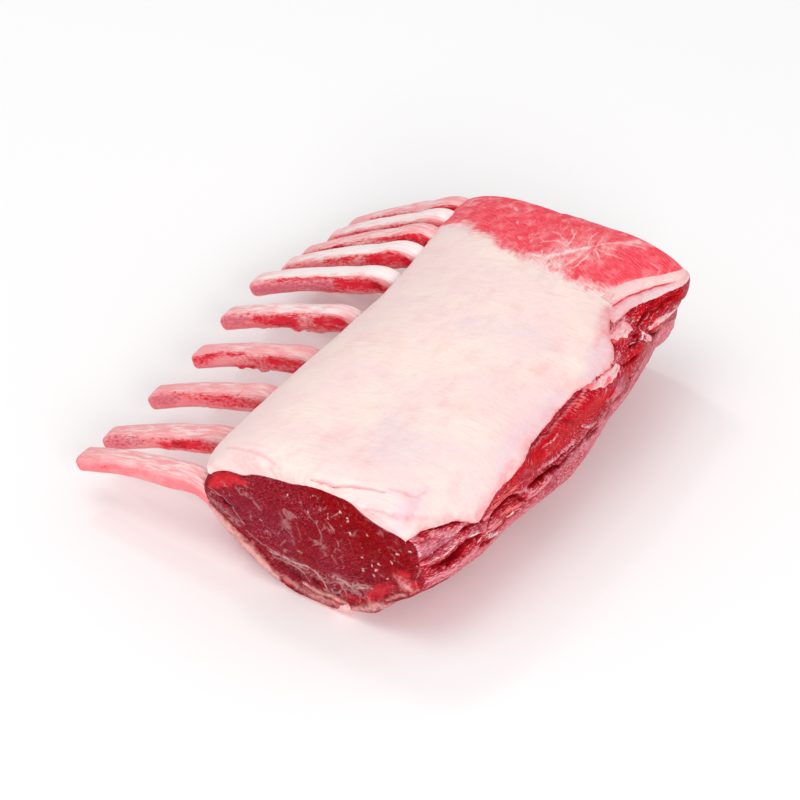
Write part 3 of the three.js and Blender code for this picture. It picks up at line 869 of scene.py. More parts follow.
def makeCapMuscle():
    u, v = gridOf(np.linspace(0, 1, capMuscle["rows"]), np.linspace(0, 1, capMuscle["columns"]))
    x = lerp(fatEnd(v) - capMuscle["overlap"], rack["length"] - capMuscle["end"], u)
    angle = lerp(capEdge(x), fatCap["ribAngle"], v)
    flat = skinFlat(x, angle)
    hidden = 1 - smooth(x, fatEnd(v) - 2.5, fatEnd(v) - 0.5)
    edgeRoll = 1.2 * (1 - smooth((angle - capEdge(x)) * rack["degree"], 0, 2.0)) ** 2
    endRoll = 1.6 * roll(rack["length"] - capMuscle["end"] - x, 2.0)
    threads = strokes(bent(flat, 3, 0.6, 31), capMuscle["threads"], onSkin)
    threads = threads * limited(0.75 + 0.9 * cloud(flat, 2.2, 33))  # with breaks in them
    near = strokes(bent(flat, 6, 3.0, 35), capMuscle["milky"], onSkin)
    fine = near * threadLines(flat / (3.0, 1.0), 1.6, 41, 0.07)
    milky = near * patches(flat, 5, 37, -0.4, 0.8)
    veins = threadLines(bent(flat, 5, 1.5, 45), 7.0, 39, 0.05) * patches(flat, 5, 51, -0.1, 0.5)
    dents = 0.3 * cloud(flat, 9, 23) + 0.12 * cloud(flat / (1.0, 4.0), 1.5, 29) + 0.3 * threads
    depth = 0.05 + hidden * 0.3 + edgeRoll + endRoll - dents
    upper = under(x, angle, depth)
    lower = under(x, angle, lerp(*capMuscle["depths"], smooth(angle - capEdge(x), 0, 26)))
    masks = {
        "white": fatShare(x, angle),
        "thread": limited(0.9 * threads + 0.5 * fine + 0.35 * milky + 0.4 * veins),
        "dark": 0.6 * patches(flat, 7, 43, 0.0, 0.7) * smooth(x, fatEnd(v) + 2, fatEnd(v) + 8),
        "fibre": fibreMap(flat[..., 1] + 0.5 * x, x - 0.3 * flat[..., 1]),
    }
    shellPiece("capMuscle", upper, lower, capFleshMaterial, masks, ["cap_muscle"])


seamFat = {
    "edge": ((130, 22.5), (142, 20.5), (150, 18.7), (160, 14.5), (170, 11.5), (185, 6.5)),
    "slit": (
        (130, 27.5), (140, 26.3), (145, 24.7), (150, 23.5), (155, 21), (160, 18.7), (165, 16.6), (185, 8.8),
    ),
    "overlap": 6.0,
    "end": 1.4,
    "hiddenDepths": (5.4, 7.4),  # of its top and underside below the cap
    "hiddenEnd": 168.0,  # degrees
    "rows": 200,
    "band": 0.12,  # share of the width that is the fold itself, and the rest lies under the cap
    "bandColumns": 60,
    "hiddenColumns": 26,
}


def seamEdge(x):
    return along(seamFat["edge"], x)


def makeSeamFat():
    band = seamFat["band"]
    shown = np.linspace(0, band, seamFat["bandColumns"], endpoint=False)
    widths = np.concatenate([shown, np.linspace(band, 1, seamFat["hiddenColumns"])])
    u, v = gridOf(np.linspace(0, 1, seamFat["rows"]), widths)
    x = lerp(fatEnd(v) - seamFat["overlap"], rack["length"] - seamFat["end"], u)
    line = np.stack([x, 0 * x], -1)
    low = seamEdge(x) + 0.5 * cloud(line, 5, 47) + 0.35 * cloud(line, 1.6, 48)
    high = capEdge(x) + 1.0 + 0.5 * cloud(line, 2.5, 49)
    share = limited(v / band)
    hiddenAngle = lerp(high, seamFat["hiddenEnd"], (v - band) / (1 - band))
    angle = np.where(v < band, lerp(low, high, share), hiddenAngle)
    flat = skinFlat(x, angle)
    middle = (along(seamFat["slit"], x) - low) / (high - low) + 0.06 * cloud(line, 5, 53)
    fold = np.where(share < middle, 0.5 * share / middle, 0.5 + 0.5 * (share - middle) / (1 - middle))
    merged = smooth(x, 168, 176)  # where the two rolls of the fold become one
    slit = hump(fold - 0.5, 0.035) * smooth(x, 139, 143) * (1 - merged)
    slit = slit * patches(line, 3.5, 55, -0.5, 0.0)
    rolls = np.abs(np.sin(2 * np.pi * fold)) ** 0.6
    rolls = 1.4 * lerp(rolls, np.sin(np.pi * fold) ** 0.6, merged)
    edges = 1.2 * roll(share, 0.12)
    hidden = smooth(v, band - 0.005, band + 0.01)  # 1 under the cap
    rise = smooth(x, 139, 152)
    dents = 0.25 * cloud(flat / (2.5, 1), 2.2, 59)
    sunk = lerp(0.35, 1.2, rise) + edges + 1.3 * slit - rolls * lerp(0.2, 1, rise)
    top, bottom = seamFat["hiddenDepths"]
    depth = lerp(sunk, top, hidden) - dents
    upper = under(x, angle, depth)
    lower = under(x, angle, np.maximum(bottom, depth + 1))
    pinkness = patches(flat / (5, 1), 1.8, 61, -0.1, 0.8)
    blush = 0.3 + 0.45 * pinkness + 0.8 * (1 - smooth(share, 0, 0.14)) + 0.3 * smooth(x, 172, 184)
    blush = blush + 0.5 * hump(fold - 0.5, 0.12) * (1 - merged) + 0.35 * (1 - rise)
    masks = {
        "cool": 0.6 * (1 - smooth(fold, 0.4, 0.6)) * (1 - 0.6 * merged),
        "blush": limited(blush),
        "red": limited(0.95 * slit),
        "fibre": fibreMap(flat[..., 0], flat[..., 1]),
    }
    shellPiece("seamFat", upper, lower, backFatMaterial, masks, ["seam_fat"])


makeFatCap()
makeCapMuscle()
makeSeamFat()

# ---- the loin

loin = {
    "rows": 420,
    "chine": (-22.0, 27.0),  # degrees drawn finely
    "chineColumns": 120,
    "crownEnd": 174.0,
    "crownColumns": 16,
    "lowerColumns": 56,
    "ends": (1.0, 184.0),
    "endDrop": 8.0,  # of the middle of each end, below the section's middle
    "step": 1.5,  # how far the bare meat lies below the skin
    "endStep": 0.3,
    "membrane": 1.2,
    "floor": 1.1,
    "turns": (  # where the fibres run askew: middle, slope in degrees, stretch and width in mm
        ((92, 7), -45, ((70, 9), (92, 7), (110, 4)), 13.0),
        ((158, -6), 30, ((140, 0), (158, -6), (172, -12)), 6.0),
    ),
    # strokes over the chine side: (mm, degrees), width in mm, strength. The gaps are cut in as grooves
    #     # and also painted dark as shade, the first one as the shadow under the fat's edge.
    "gaps": (
        (((9, 17.5), (14, 15.5), (20.5, 12.5), (25, 9.5)), 1.1, 0.75),
        (((20.5, 6.5), (25.5, 5.5), (29.5, 4), (32.5, 3)), 0.8, 0.75),
        (((0, 5.5), (8, 5), (14.5, 5.5)), 0.7, 0.45),
        (((36.5, 2), (42.5, 2), (48, 1.5), (52, 0)), 0.8, 1.0),
        (((43.5, 0.5), (50, -1), (53, -2.5), (55.5, -5)), 0.8, 0.55),
        (((58, -1), (63, -1), (68, -1.5), (74, -3), (78, -6)), 0.8, 1.0),
        (((67, 0.5), (71, 0), (75, -1), (86, -3), (90, -4)), 0.6, 0.6),
        (((5, -0.5), (13.5, -1.5), (21.5, 0), (27.5, -1)), 1.2, 0.65),
        (((20, 0), (29, -2)), 1.0, 0.5),
        (((6, -1.5), (8.5, -2.5)), 0.9, 0.6),
        (((11, -3), (12.5, -4)), 0.8, 0.55),
        (((77.5, -5), (85.5, -5.5), (93.5, -6), (104.5, -7)), 0.7, 0.6),
        (((97, -8), (102, -8.5), (107, -10)), 0.8, 0.55),
        (((27.5, -6.5), (32.5, -8), (37, -10)), 0.9, 0.5),
        (((123.5, 10), (129, 8), (135, 7)), 0.8, 0.6),
        (((132, 11.5), (136, 11), (139, 11)), 0.9, 0.7),
        (((137, 13.5), (140, 12.8)), 0.8, 0.8),
        (((147, 8), (150, 5), (154, 1), (158, -2), (165, -8)), 0.9, 0.8),
        (((142.5, 14.5), (150, 14.5), (158, 11.5), (166, 9.8), (172, 9.3)), 1.3, 0.5),
        (((127, 2), (130, -2)), 0.6, 0.5),
        (((135, -1), (138, -5)), 0.7, 0.5),
        (((141, -7), (144, -11)), 0.7, 0.45),
        (((31.5, -1.5), (34.5, 0.5), (38.5, 2)), 0.4, 0.6),
        (((64, 15.6), (75, 15.4), (88, 16.2), (99, 16.6)), 0.35, 0.5),
        (((126, 21.2), (129, 20.6)), 0.7, 0.75),
        (((170, 7), (178, 1), (184, -6)), 0.7, 0.35),
    ),
    "films": (
        (((8, 15), (13.5, 10.5), (17.5, 8.5), (24, 9)), 2.2, 0.8),
        (((0, 13), (7.5, 9.5)), 4.0, 0.6),
        (((1, 4), (9, 2), (15.5, 3.5), (21.5, 3), (28.5, 0.5)), 1.1, 0.7),
        (((2, -5), (14, -6.5), (26, -6)), 2.0, 0.85),
        (((127, 21), (134, 20.5), (141, 20.5)), 1.8, 0.9),
        (((118, 14), (126, 14.5)), 1.4, 0.6),
        (((12.5, 7.5), (15.5, 4)), 1.2, 0.7),
        (((32.5, 3), (35.5, 3), (39.5, 2.5)), 0.8, 1.0),
        (((52, 1.5), (56, 0), (58, -2.5), (62, -3.5)), 1.2, 0.7),
        (((57, -4), (62, -5), (70.5, -4.5)), 1.8, 0.9),
        (((64.5, 3.5), (69.5, 2), (74.5, 0.5), (82.5, -1), (90.5, -2)), 1.0, 0.8),
        (((96, 0.5), (98.5, -2), (102, -4.5), (106, -6)), 0.8, 0.9),
        (((115.5, 1), (119, -3.5), (121, -7)), 2.6, 0.85),
        (((112, 2), (114, -3)), 1.5, 0.6),
        (((117, 3), (120, 0), (123, -4)), 3.0, 0.7),
        (((127.5, 5), (135, 2), (143, -3.5)), 0.9, 0.45),
        (((67.5, 12.5), (71.5, 11.5), (78, 10.5)), 0.5, 0.5),
        (((0, 17), (4.5, 15.5)), 1.6, 0.6),
        (((63, 15), (78, 15.2), (90, 15.8), (102, 15.6)), 1.1, 0.5),
        (((168.5, 5), (175.5, -2.5), (178, -5.5)), 1.4, 0.8),
        (((31, 0), (35, -1.5), (40, -3.5)), 2.2, 0.7),
        (((103, 16.5), (113.5, 15.5), (121, 13.5)), 1.6, 0.6),
        (((131, 20.8), (137, 20.4), (142, 20.8)), 1.5, 0.75),
        (((160, 4), (168, -1), (174, -6)), 2.0, 0.5),
    ),
    "salmons": (
        (((31, -1), (36, -3), (42, -5.5)), 1.8, 0.9),
        (((42, -1.5), (48, -4), (56, -5.5)), 1.2, 0.8),
        (((36, 4), (45, 5), (54, 5)), 1.6, 0.55),
        (((100, 16.5), (107, 15.5)), 1.0, 0.9),
        (((90, 14), (98, 13.5)), 1.2, 0.5),
        (((26, -9), (40, -13), (60, -14)), 3.0, 0.5),
        (((155, 3), (161, -2), (168, -7)), 1.6, 0.6),
        (((128, 18), (131, 16.5), (133, 15.5)), 1.4, 0.7),
    ),
    "mauves": (
        (((0, 11), (8, 8), (16, 7)), 3.0, 0.75),
        (((70, -6), (85, -7.5), (100, -9)), 2.6, 0.6),
        (((119, 6), (122, 2), (125, -2)), 3.0, 0.7),
        (((150, -4), (158, -8), (166, -12)), 3.0, 0.55),
        (((24, 2), (31, 1.5)), 1.5, 0.5),
    ),
    "whites": (
        (((30, -3), (34, -6), (40, -10)), 1.3, 0.7),
        (((44.5, -5.5), (48.5, -6), (53.5, -7)), 0.5, 0.8),
        (((4.5, 3.5), (11, 2.5), (19.5, 4)), 0.35, 0.7),
        (((23.5, 1.5), (27.5, 0.5)), 0.4, 0.8),
        (((133.5, 12.5), (138.5, 10.8), (141, 10.5), (143, 12), (142.5, 13.5)), 0.5, 0.9),
        (((141.5, 9), (143.4, 6.6)), 0.5, 0.95),
        (((143, 12.4), (144, 9.2)), 0.6, 0.9),
        (((70.5, 1), (75.5, 0)), 0.35, 0.7),
        (((99, -2), (101, -4)), 0.4, 0.7),
        (((42, 7.5), (42.4, 7.2)), 0.5, 0.7),
        (((139, 19.4), (142, 18.6), (144.5, 17.6)), 1.2, 0.7),
        (((47, 9), (47.4, 8.8)), 0.4, 0.6),
        (((59, 9), (59.5, 8.8)), 0.4, 0.6),
        (((40, 2.9), (42.5, 2.9), (45, 2.3)), 0.35, 0.6),
        (((23, 2.2), (26, 0.8), (29, -0.2)), 0.45, 0.95),
        (((27, -3.4), (30, -3)), 0.4, 0.9),
        (((10, 12.6), (14, 9), (18, 7.4), (24, 9)), 0.5, 0.6),
        (((1, 17), (0.8, 12), (1.4, 8)), 0.6, 0.6),
        (((6.5, 8), (6, 5)), 0.3, 0.6),
        (((141, 15.8), (148, 15.8), (155, 15)), 0.3, 0.55),
        (((142, 14), (150, 13.6), (158, 12.4)), 0.3, 0.6),
        (((145, 12.4), (152, 12), (160, 10.6)), 0.25, 0.5),
        (((142, 17.2), (148, 17)), 0.25, 0.5),
        (((70, 12), (74, 11), (78, 11.4)), 0.45, 0.6),
        (((79, -0.5), (84, -2), (90, -3)), 0.4, 0.6),
        (((69, 10.6), (70, 9.4)), 0.35, 0.6),
        (((103, 12), (106, 10.6)), 0.3, 0.5),
        (((94, -7), (97, -9)), 0.4, 0.5),
        (((100, -7.5), (104, -10)), 0.4, 0.5),
        (((127, 3), (131, 1)), 0.4, 0.5),
    ),
    "brights": (
        (((63.5, 10.5), (82.5, 8.5), (98, 6.5), (113, 1.5)), 7.0, 1.0),
        (((40, 8), (52, 9), (61.5, 10.5)), 3.0, 0.55),
        (((124, 7), (137.5, 7)), 3.0, 0.8),
        (((127, 17), (131, 16.5), (133, 15.5)), 1.8, 0.9),
        (((139.5, 20), (143, 19.5)), 1.6, 0.9),
        (((143, 16), (151.5, 13), (161.5, 11), (173.5, 8.5)), 3.4, 0.9),
        (((39, -4.5), (42, -6.5)), 1.1, 0.9),
        (((46, -6), (51, -7.5)), 1.1, 0.9),
        (((146, 9), (152, 5), (157, 1)), 0.8, 0.8),
        (((12, -2), (24, -2)), 1.8, 0.6),
        (((172, 7), (179, 1), (184, -4)), 1.0, 0.8),
    ),
    "lumps": (  # fuller places
        (((31, 0), (36, -2), (41, -4)), 2.6, 0.9),
        (((57, -4), (64, -4.5), (72, -5)), 2.6, 0.8),
        (((126, 4), (136, 0)), 3.0, 0.6),
        (((2, -5), (14, -6), (26, -5)), 2.6, 0.5),
    ),
    "hollows": (
        (((76, -10), (84, -12), (92, -12)), 4.0, 1.0),
        (((119, -6), (121, -9), (123, -14)), 4.0, 1.0),
        (((145, 8), (149, 4), (153, -2)), 2.0, 0.7),
    ),
}


def frontDepth(angle):  # depth of the rim of the first cut
    return along(fatCap["front"], wrapped(angle))


def farDepth(angle):  # depth of the rim of the far cut, below the cap muscle and its fat
    w = wrapped(angle)
    low = seamFat["edge"][-1][1]
    covered = 0.4 + 6.6 * window(w, low, low + 18, 168, 176)
    return np.where(angle > 180, loin["membrane"], covered)


def loinDepth(x, angle):  # depth of the meat below the outer skin
    w = wrapped(angle)
    inside = window(x, 0, 8, 165, 180)
    step = lerp(loin["endStep"], loin["step"], inside)
    membrane = loin["membrane"] * window(angle, 180, 200, 285, 300)
    edge = np.where(x < fatCap["end"][0], fatEdge(x), seamEdge(x))
    covered = lerp(step, 3.0, smooth(w, edge - 1, edge + 6))
    inner = np.where(angle > 180, membrane + step * smooth(angle, 346, 360), covered)
    near = lerp(frontDepth(angle) + 0.05, inner, smooth(x, 1, 8))
    return lerp(near, farDepth(angle) + 0.15, smooth(x, 177, 184))


def fibresOf(flat):  # the same points measured along and across the muscle's fibres
    total = flat.copy()
    for middle, slope, path, width in loin["turns"]:
        share = strokes(flat, ((path, width, 1.0),), onSkin)[..., None]
        centre = np.array(middle, float) * onSkin
        c, s = math.cos(math.radians(slope)), math.sin(math.radians(slope))
        total = total + share * ((flat - centre) @ np.array(((c, -s), (s, c))) + centre - flat)
    return total


def makeLoin():  # rings round the backbone, finest on the chine side
    chine = np.linspace(*loin["chine"], loin["chineColumns"], endpoint=False)
    crown = np.linspace(loin["chine"][1], loin["crownEnd"], loin["crownColumns"], endpoint=False)
    lower = np.linspace(loin["crownEnd"], 360 + loin["chine"][0], loin["lowerColumns"], endpoint=False)
    angles = np.concatenate([chine, crown, lower])[::-1]
    x, angle = gridOf(np.linspace(*loin["ends"], loin["rows"]), np.mod(angles, 360.0))
    w = wrapped(angle)
    flat = skinFlat(x, angle)
    torn = bent(flat, 4, 0.7, 67)
    grained = fibresOf(torn)
    onChine = window(w, -60, -35, 26, 32) * window(x, 0.5, 4, 181, 184)
    ropes = cloud(grained / (8.0, 1.0), 2.0, 73)  # bundles of fibres
    gaps = strokes(torn, loin["gaps"], onSkin) * limited(0.85 + 0.5 * cloud(flat, 2.5, 69))
    films = strokes(torn, loin["films"], onSkin)
    mauves = strokes(bent(flat, 6, 1.5, 71), loin["mauves"], onSkin)
    whites = strokes(torn, loin["whites"], onSkin) * limited(0.8 + 0.8 * cloud(flat, 1.6, 77))
    brights = strokes(bent(flat, 8, 2.0, 75), loin["brights"], onSkin)
    lumps = strokes(flat, loin["lumps"], onSkin)
    hollows = strokes(flat, loin["hollows"], onSkin)
    salmons = strokes(bent(flat, 5, 1.2, 87), loin["salmons"], onSkin)
    calm = 1 - 0.6 * brights
    relief = calm * 0.5 * ropes + 0.3 * cloud(flat, 6, 79) + 0.5 * whites + 0.35 * films + 0.8 * lumps
    relief = relief - 2.8 * gaps**1.5 - 1.3 * hollows
    points = under(x, angle, loinDepth(x, angle) - onChine * relief, loin["floor"])
    low = onChine * (1 - smooth(w + 4 * cloud(flat, 9, 81), -12, -2))
    low = low * (0.8 + 0.5 * cloud(flat / (2.5, 1), 5, 85))
    strands = patches(grained / (6.0, 1.0), 2.4, 83, 0.15, 0.75)
    film = np.maximum.reduce([films, 0.8 * low, 0.45 * strands * (1 - brights) * onChine])
    film = np.maximum(film, 0.85 * window(angle, 176, 190, 300, 325) * (angle > 90))
    shaded = patches(grained / (5.0, 1.0), 3.0, 91, 0.2, 0.7) * smooth(-w, -4, 4)
    masks = {
        "film": limited(film) * (1 - gaps),
        "mauve": mauves * (1 - gaps),
        "bright": brights,
        "white": whites,
        # painted shade: the gaps, the low places between the fibre bundles and patches low on the chine side
        # are darkened
        "dark": limited(gaps + onChine * (0.4 * smooth(-ropes, 0.15, 0.8) * (1 - film) + 0.5 * shaded)),
        "salmon": salmons * (1 - gaps),
        # where the pale threads and painted glint highlights show: everywhere but the bright meat
        "thread": limited(0.85 - 0.75 * brights + 0.6 * cloud(flat, 3.5, 89)),
        "fibre": fibreMap(grained[..., 0], grained[..., 1] + 0.1 * grained[..., 0]),
    }
    ends = []
    for station in loin["ends"]:
        midY, midZ, _, _ = section(np.float64(station))
        ends.append((station, midY, midZ - loin["endDrop"]))
    ringPiece("loinBody", points, ends, loinSideMaterial, masks, ["loin"])


makeLoin()

# ---- the two cut faces

cutFace = {"bulge": 1.3, "thickness": 2.4, "centreDrop": 4.0, "fibre": (-0.77, 0.64)}
frontCut = {  # strokes over the face: y and z in mm, width, strength
    "grid": (380, 240),
    "whites": (
        (
            ((17.5, 18.8), (14, 18.2), (10, 17.8), (4, 18.6), (1, 18), (-0.8, 16.4), (-3, 13.4), (-4, 11.5)),
            0.4, 0.95,
        ),
        (((19, 16.8), (14, 16.2), (9, 16.2), (6, 14.6), (3.4, 11.5)), 0.3, 0.8),
        (((30, 23), (24, 20), (17, 18.6)), 0.3, 0.45),
        (((-8, 18.8), (-12, 18.8), (-14.5, 17), (-17, 18.4), (-20, 19.8)), 0.6, 0.75),
        (((-9, 17), (-11, 15), (-12, 12.6)), 0.35, 0.6),
        (((-4.5, 15), (-8, 17.5), (-13, 15.5), (-17, 17)), 0.3, 0.5),
        (((45.5, 35.2), (40, 34), (36, 31.4), (32.6, 28), (30.5, 25.4)), 0.3, 0.6),
        (((44.5, 31), (41, 28), (36, 26.5), (32, 26.4)), 0.5, 0.35),
        (((23, 35.6), (26, 38)), 0.5, 0.45),
        (((12.6, 40), (12, 35), (14, 31)), 0.35, 0.4),
        (((13, 27), (15, 23)), 0.35, 0.35),
        (((3, 42.4), (0, 40.2), (-1, 41.6)), 0.3, 0.5),
        (((0, 40.4), (-2.4, 36), (-2, 32), (1.6, 29.6)), 0.3, 0.45),
        (((-5, 42.4), (-7.5, 40)), 0.35, 0.5),
        (((-9, 36.6), (-9.6, 34)), 0.35, 0.4),
        (((-6.5, 28.5), (-8.6, 25.4)), 0.4, 0.45),
        (((-9, 48.5), (-6, 45)), 0.3, 0.35),
        (((8, 36), (6, 30)), 0.3, 0.3),
        (((-26, 49.6), (-29, 48.6)), 0.5, 0.8),
        (((-37, 30.6), (-34, 31.6), (-33, 28), (-36, 25)), 0.35, 0.5),
        (((-40, 31.6), (-41, 28), (-38, 24.8)), 0.35, 0.5),
        (((1, 5.6), (-1, 6.6), (-3, 5.8)), 0.4, 0.7),
        (((-40.6, 44), (-41.4, 38), (-40, 33)), 0.35, 0.5),
    ),
    "milks": (  # where white tissue is spread thinly
        (((20, 18), (6, 17), (-4, 16)), 1.7, 0.8),
        (((-5, 19), (-14, 18), (-22, 20.5)), 1.8, 0.9),
        (((-3, 11), (-10, 13), (-17, 16)), 1.8, 0.7),
        (((-33, 30), (-38, 27)), 2.4, 0.7),
        (((44, 30), (38, 27), (33, 24)), 1.8, 0.6),
        (((14, 38), (12, 32), (10, 27)), 1.6, 0.5),
        (((-2, 33), (-4, 28)), 1.4, 0.4),
    ),
    "flecks": (  # y and z of each
        (-13, 47.6), (-12.4, 46), (-9.8, 49.4), (-21, 43.2), (-18, 33), (-19, 28.4),
        (-22.6, 30.6), (-23, 27.4), (-25.8, 32.6), (-37, 43.4), (-29, 28.4), (-14, 41),
        (-30, 36), (-33, 40.5), (-24, 29.4), (12, 47.4), (-19.2, 27),
    ),
    "pinks": (
        (((53, 31), (50, 27), (41, 22.2), (31, 15.2), (24, 10.6), (17, 6.6)), 3.0, 1.0),
        (((18, 9), (8, 6.5), (-2, 5), (-12, 6)), 2.2, 0.55),
        (((-12, 6), (-20, 10), (-27, 14), (-33, 18)), 2.0, 0.75),
        (((6, 9.4), (0, 8.6), (-6, 9), (-12, 8.6)), 1.4, 0.8),
        (((-35, 29), (-38, 26.5)), 2.2, 0.6),
        (((-28, 17.5), (-32, 21.5), (-36, 23)), 0.9, 0.6),
    ),
    "lobes": (
        (((45, 37), (42, 40), (37, 43), (31, 44)), 3.2, 0.95),
        (((-33, 31), (-37, 28), (-40, 30)), 3.4, 0.7),
        (((-20, 14), (-25, 20), (-30, 25)), 2.2, 0.7),
        (((-6, 6.5), (-9, 7.5)), 1.2, 0.7),
        (((2, 4), (-3, 4.4)), 1.0, 0.5),
        (((-34, 33), (-38, 33)), 1.6, 0.9),
        (((-9, 13), (-14, 13), (-17, 11.4)), 2.0, 0.5),
        (((14, 6.4), (12.6, 6.4)), 1.8, 0.6),
    ),
    "darks": (
        (((40, 32.6), (35.6, 31)), 1.3, 0.85),
        (((15, 14), (10, 12.6), (5, 11)), 2.4, 0.55),
        (((2, 14), (-1, 11.5)), 1.1, 0.8),
        (((-4, 12.6), (-9, 11)), 1.2, 0.6),
        (((-12, 16), (-15, 14)), 1.2, 0.6),
        (((-14, 44), (-26, 38), (-20, 28), (-14, 24)), 5.0, 0.3),
        (((-15, 23.5), (-24, 24)), 1.8, 0.45),
    ),
    "redLines": (
        (((47, 29), (40, 25.6), (32, 20.6), (25, 16.8), (21, 14)), 0.5, 0.95),
        (((14.5, 8.6), (16.2, 7), (15, 4.8), (12, 4.8)), 0.5, 0.7),
    ),
    "purples": (
        (((38, 33), (28, 31), (20, 31), (12, 24)), 8.0, 0.75),
        (((-2, 22), (-14, 22)), 4.0, 0.6),
        (((14, 13), (6, 13)), 3.0, 0.7),
    ),
    "brights": ((((-2, 53), (-14, 48), (-26, 40), (-36, 38)), 12.0, 1.0), (((44, 39), (38, 43)), 3.0, 0.6)),
}
farCut = {
    "grid": (240, 150),
    "whites": (
        (((30, 16), (14, 13), (0, 15), (-12, 13)), 0.5, 0.8),
        (((-10, 44), (2, 40), (16, 44)), 0.5, 0.6),
        (((20, 30), (12, 26), (4, 30)), 0.35, 0.5),
        (((-20, 30), (-28, 36)), 0.4, 0.5),
    ),
    "milks": ((((26, 15), (6, 14), (-12, 15)), 2.0, 0.8), (((-10, 40), (8, 38)), 2.0, 0.5)),
    "flecks": ((-14, 24), (-22, 40), (6, 34), (20, 38), (28, 28), (-6, 30), (12, 20), (-30, 26)),
    "pinks": ((((40, 14), (20, 6), (0, 4), (-20, 8)), 2.4, 0.9),),
    "lobes": ((((36, 40), (28, 46)), 4.0, 0.7),),
    "darks": ((((10, 36), (-6, 36)), 5.0, 0.4),),
    "redLines": ((((40, 20), (20, 11), (0, 9)), 0.5, 0.8),),
    "purples": ((((24, 28), (4, 24), (-10, 30)), 8.0, 0.7),),
    "brights": ((((-10, 44), (-30, 38)), 10.0, 1.0),),
}


def discGrid(columns, rows):  # a square grid pressed into a disc: radius 0 to 1 and turn in degrees
    s, t = gridOf(np.linspace(-1, 1, columns), np.linspace(-1, 1, rows))
    wide = np.abs(s) > np.abs(t)
    radius = np.where(wide, s, t)
    safe = np.where(radius == 0, 1, radius)
    turn = np.where(wide, np.pi / 4 * t / safe, np.pi / 2 - np.pi / 4 * s / safe)
    y, z = radius * np.cos(turn), radius * np.sin(turn)
    return np.hypot(y, z), np.degrees(np.arctan2(z, -y)) % 360


def roundGrid(columns, rows):  # the grid's outermost points, one after the other
    i, j = np.arange(columns - 1), np.arange(rows - 1)
    return np.concatenate(
        [i * rows, (columns - 1) * rows + j, (columns - 1 - i) * rows + rows - 1, rows - 1 - j]
    )


# how far the cut meat stands out from its rim, and its masks
def cutMeat(yz, ring, angle, marks, seed):
    torn = bent(yz, 4, 0.5, seed)
    broken = limited(0.75 + 0.9 * cloud(yz, 1.8, seed + 31))
    whites = strokes(bent(torn, 1.4, 0.35, seed + 33), marks["whites"]) * broken
    pinks = strokes(bent(yz, 5, 0.9, seed + 1), marks["pinks"])
    lobes = strokes(bent(yz, 4, 1.2, seed + 2), marks["lobes"])
    darks = strokes(bent(yz, 4, 1.2, seed + 3), marks["darks"])
    redLines = strokes(torn, marks["redLines"])
    purples = strokes(bent(yz, 9, 3.0, seed + 4), marks["purples"])
    brights = strokes(bent(yz, 9, 3.0, seed + 6), marks["brights"])
    shorts = []
    for k, (y, z) in enumerate(marks["flecks"]):
        turned = 2.4 * k
        path = ((y, z), (y + 0.9 * math.cos(turned), z + 0.9 * math.sin(turned)))
        shorts.append((path, 0.3 + 0.1 * math.sin(k), 0.9))
    flecks = strokes(bent(yz, 1.0, 0.5, seed + 7), shorts)
    small = smooth(grain(bent(yz, 1.2, 0.5, seed + 17) / (1.0, 1.6), 0.6, seed + 19), 0.78, 0.95)
    small = small * patches(yz, 7, seed + 21, 0.1, 0.6)  # specks of marbling
    curled = bent(yz, 3, 1.2, seed + 41)
    threads = threadLines(curled, 4.5, seed + 43, 0.07) * patches(yz, 3, seed + 45, 0.1, 0.5)
    milks = strokes(bent(yz, 3, 1.0, seed + 47), marks["milks"])
    woven = threadLines(curled / (1.0, 0.7), 2.2, seed + 49, 0.25)
    covered = window(wrapped(angle), 17, 24, 160, 168)  # where fat lies over the rim
    soft = 0.25 * threads * (1 - 0.4 * brights)
    rimLine = 0.35 * covered * (1 - smooth(1 - ring, 0.0, 0.015)) * patches(yz, 4, seed + 23, -0.5, 0.2)
    roundedRim = lerp(0.4, 0.05, covered) * roll(1 - ring, 0.03)
    relief = 0.2 * cloud(yz, 9, seed + 25) + 0.1 * cloud(yz, 1.6, seed + 27) + 0.15 * whites + 0.25 * lobes
    relief = relief + 0.3 * milks * (woven - 0.4)
    out = cutFace["bulge"] * (1 - ring**2) - roundedRim + relief + 0.3 * pinks - 0.4 * redLines - 0.5 * darks
    hatch = np.array(cutFace["fibre"])
    masks = {
        "white": np.maximum.reduce([0.7 * whites, flecks, 0.6 * small, rimLine, soft, 0.5 * milks * woven]),
        "bright": brights,
        "purple": purples * (1 - pinks),
        "lobe": lobes,
        "pink": limited(pinks * (0.85 + 0.3 * cloud(yz, 2.5, seed + 29))),
        "dark": limited(darks),
        "redLine": redLines,
        # where the painted highlights of wet glints show, in patches
        "paintedGlints": limited(0.6 + 0.7 * cloud(yz, 4.5, seed + 35)) * (1 - brights) * (1 - 0.5 * lobes),
        "fibre": fibreMap(yz @ hatch, yz @ np.array((hatch[1], -hatch[0]))),
    }
    return out, masks


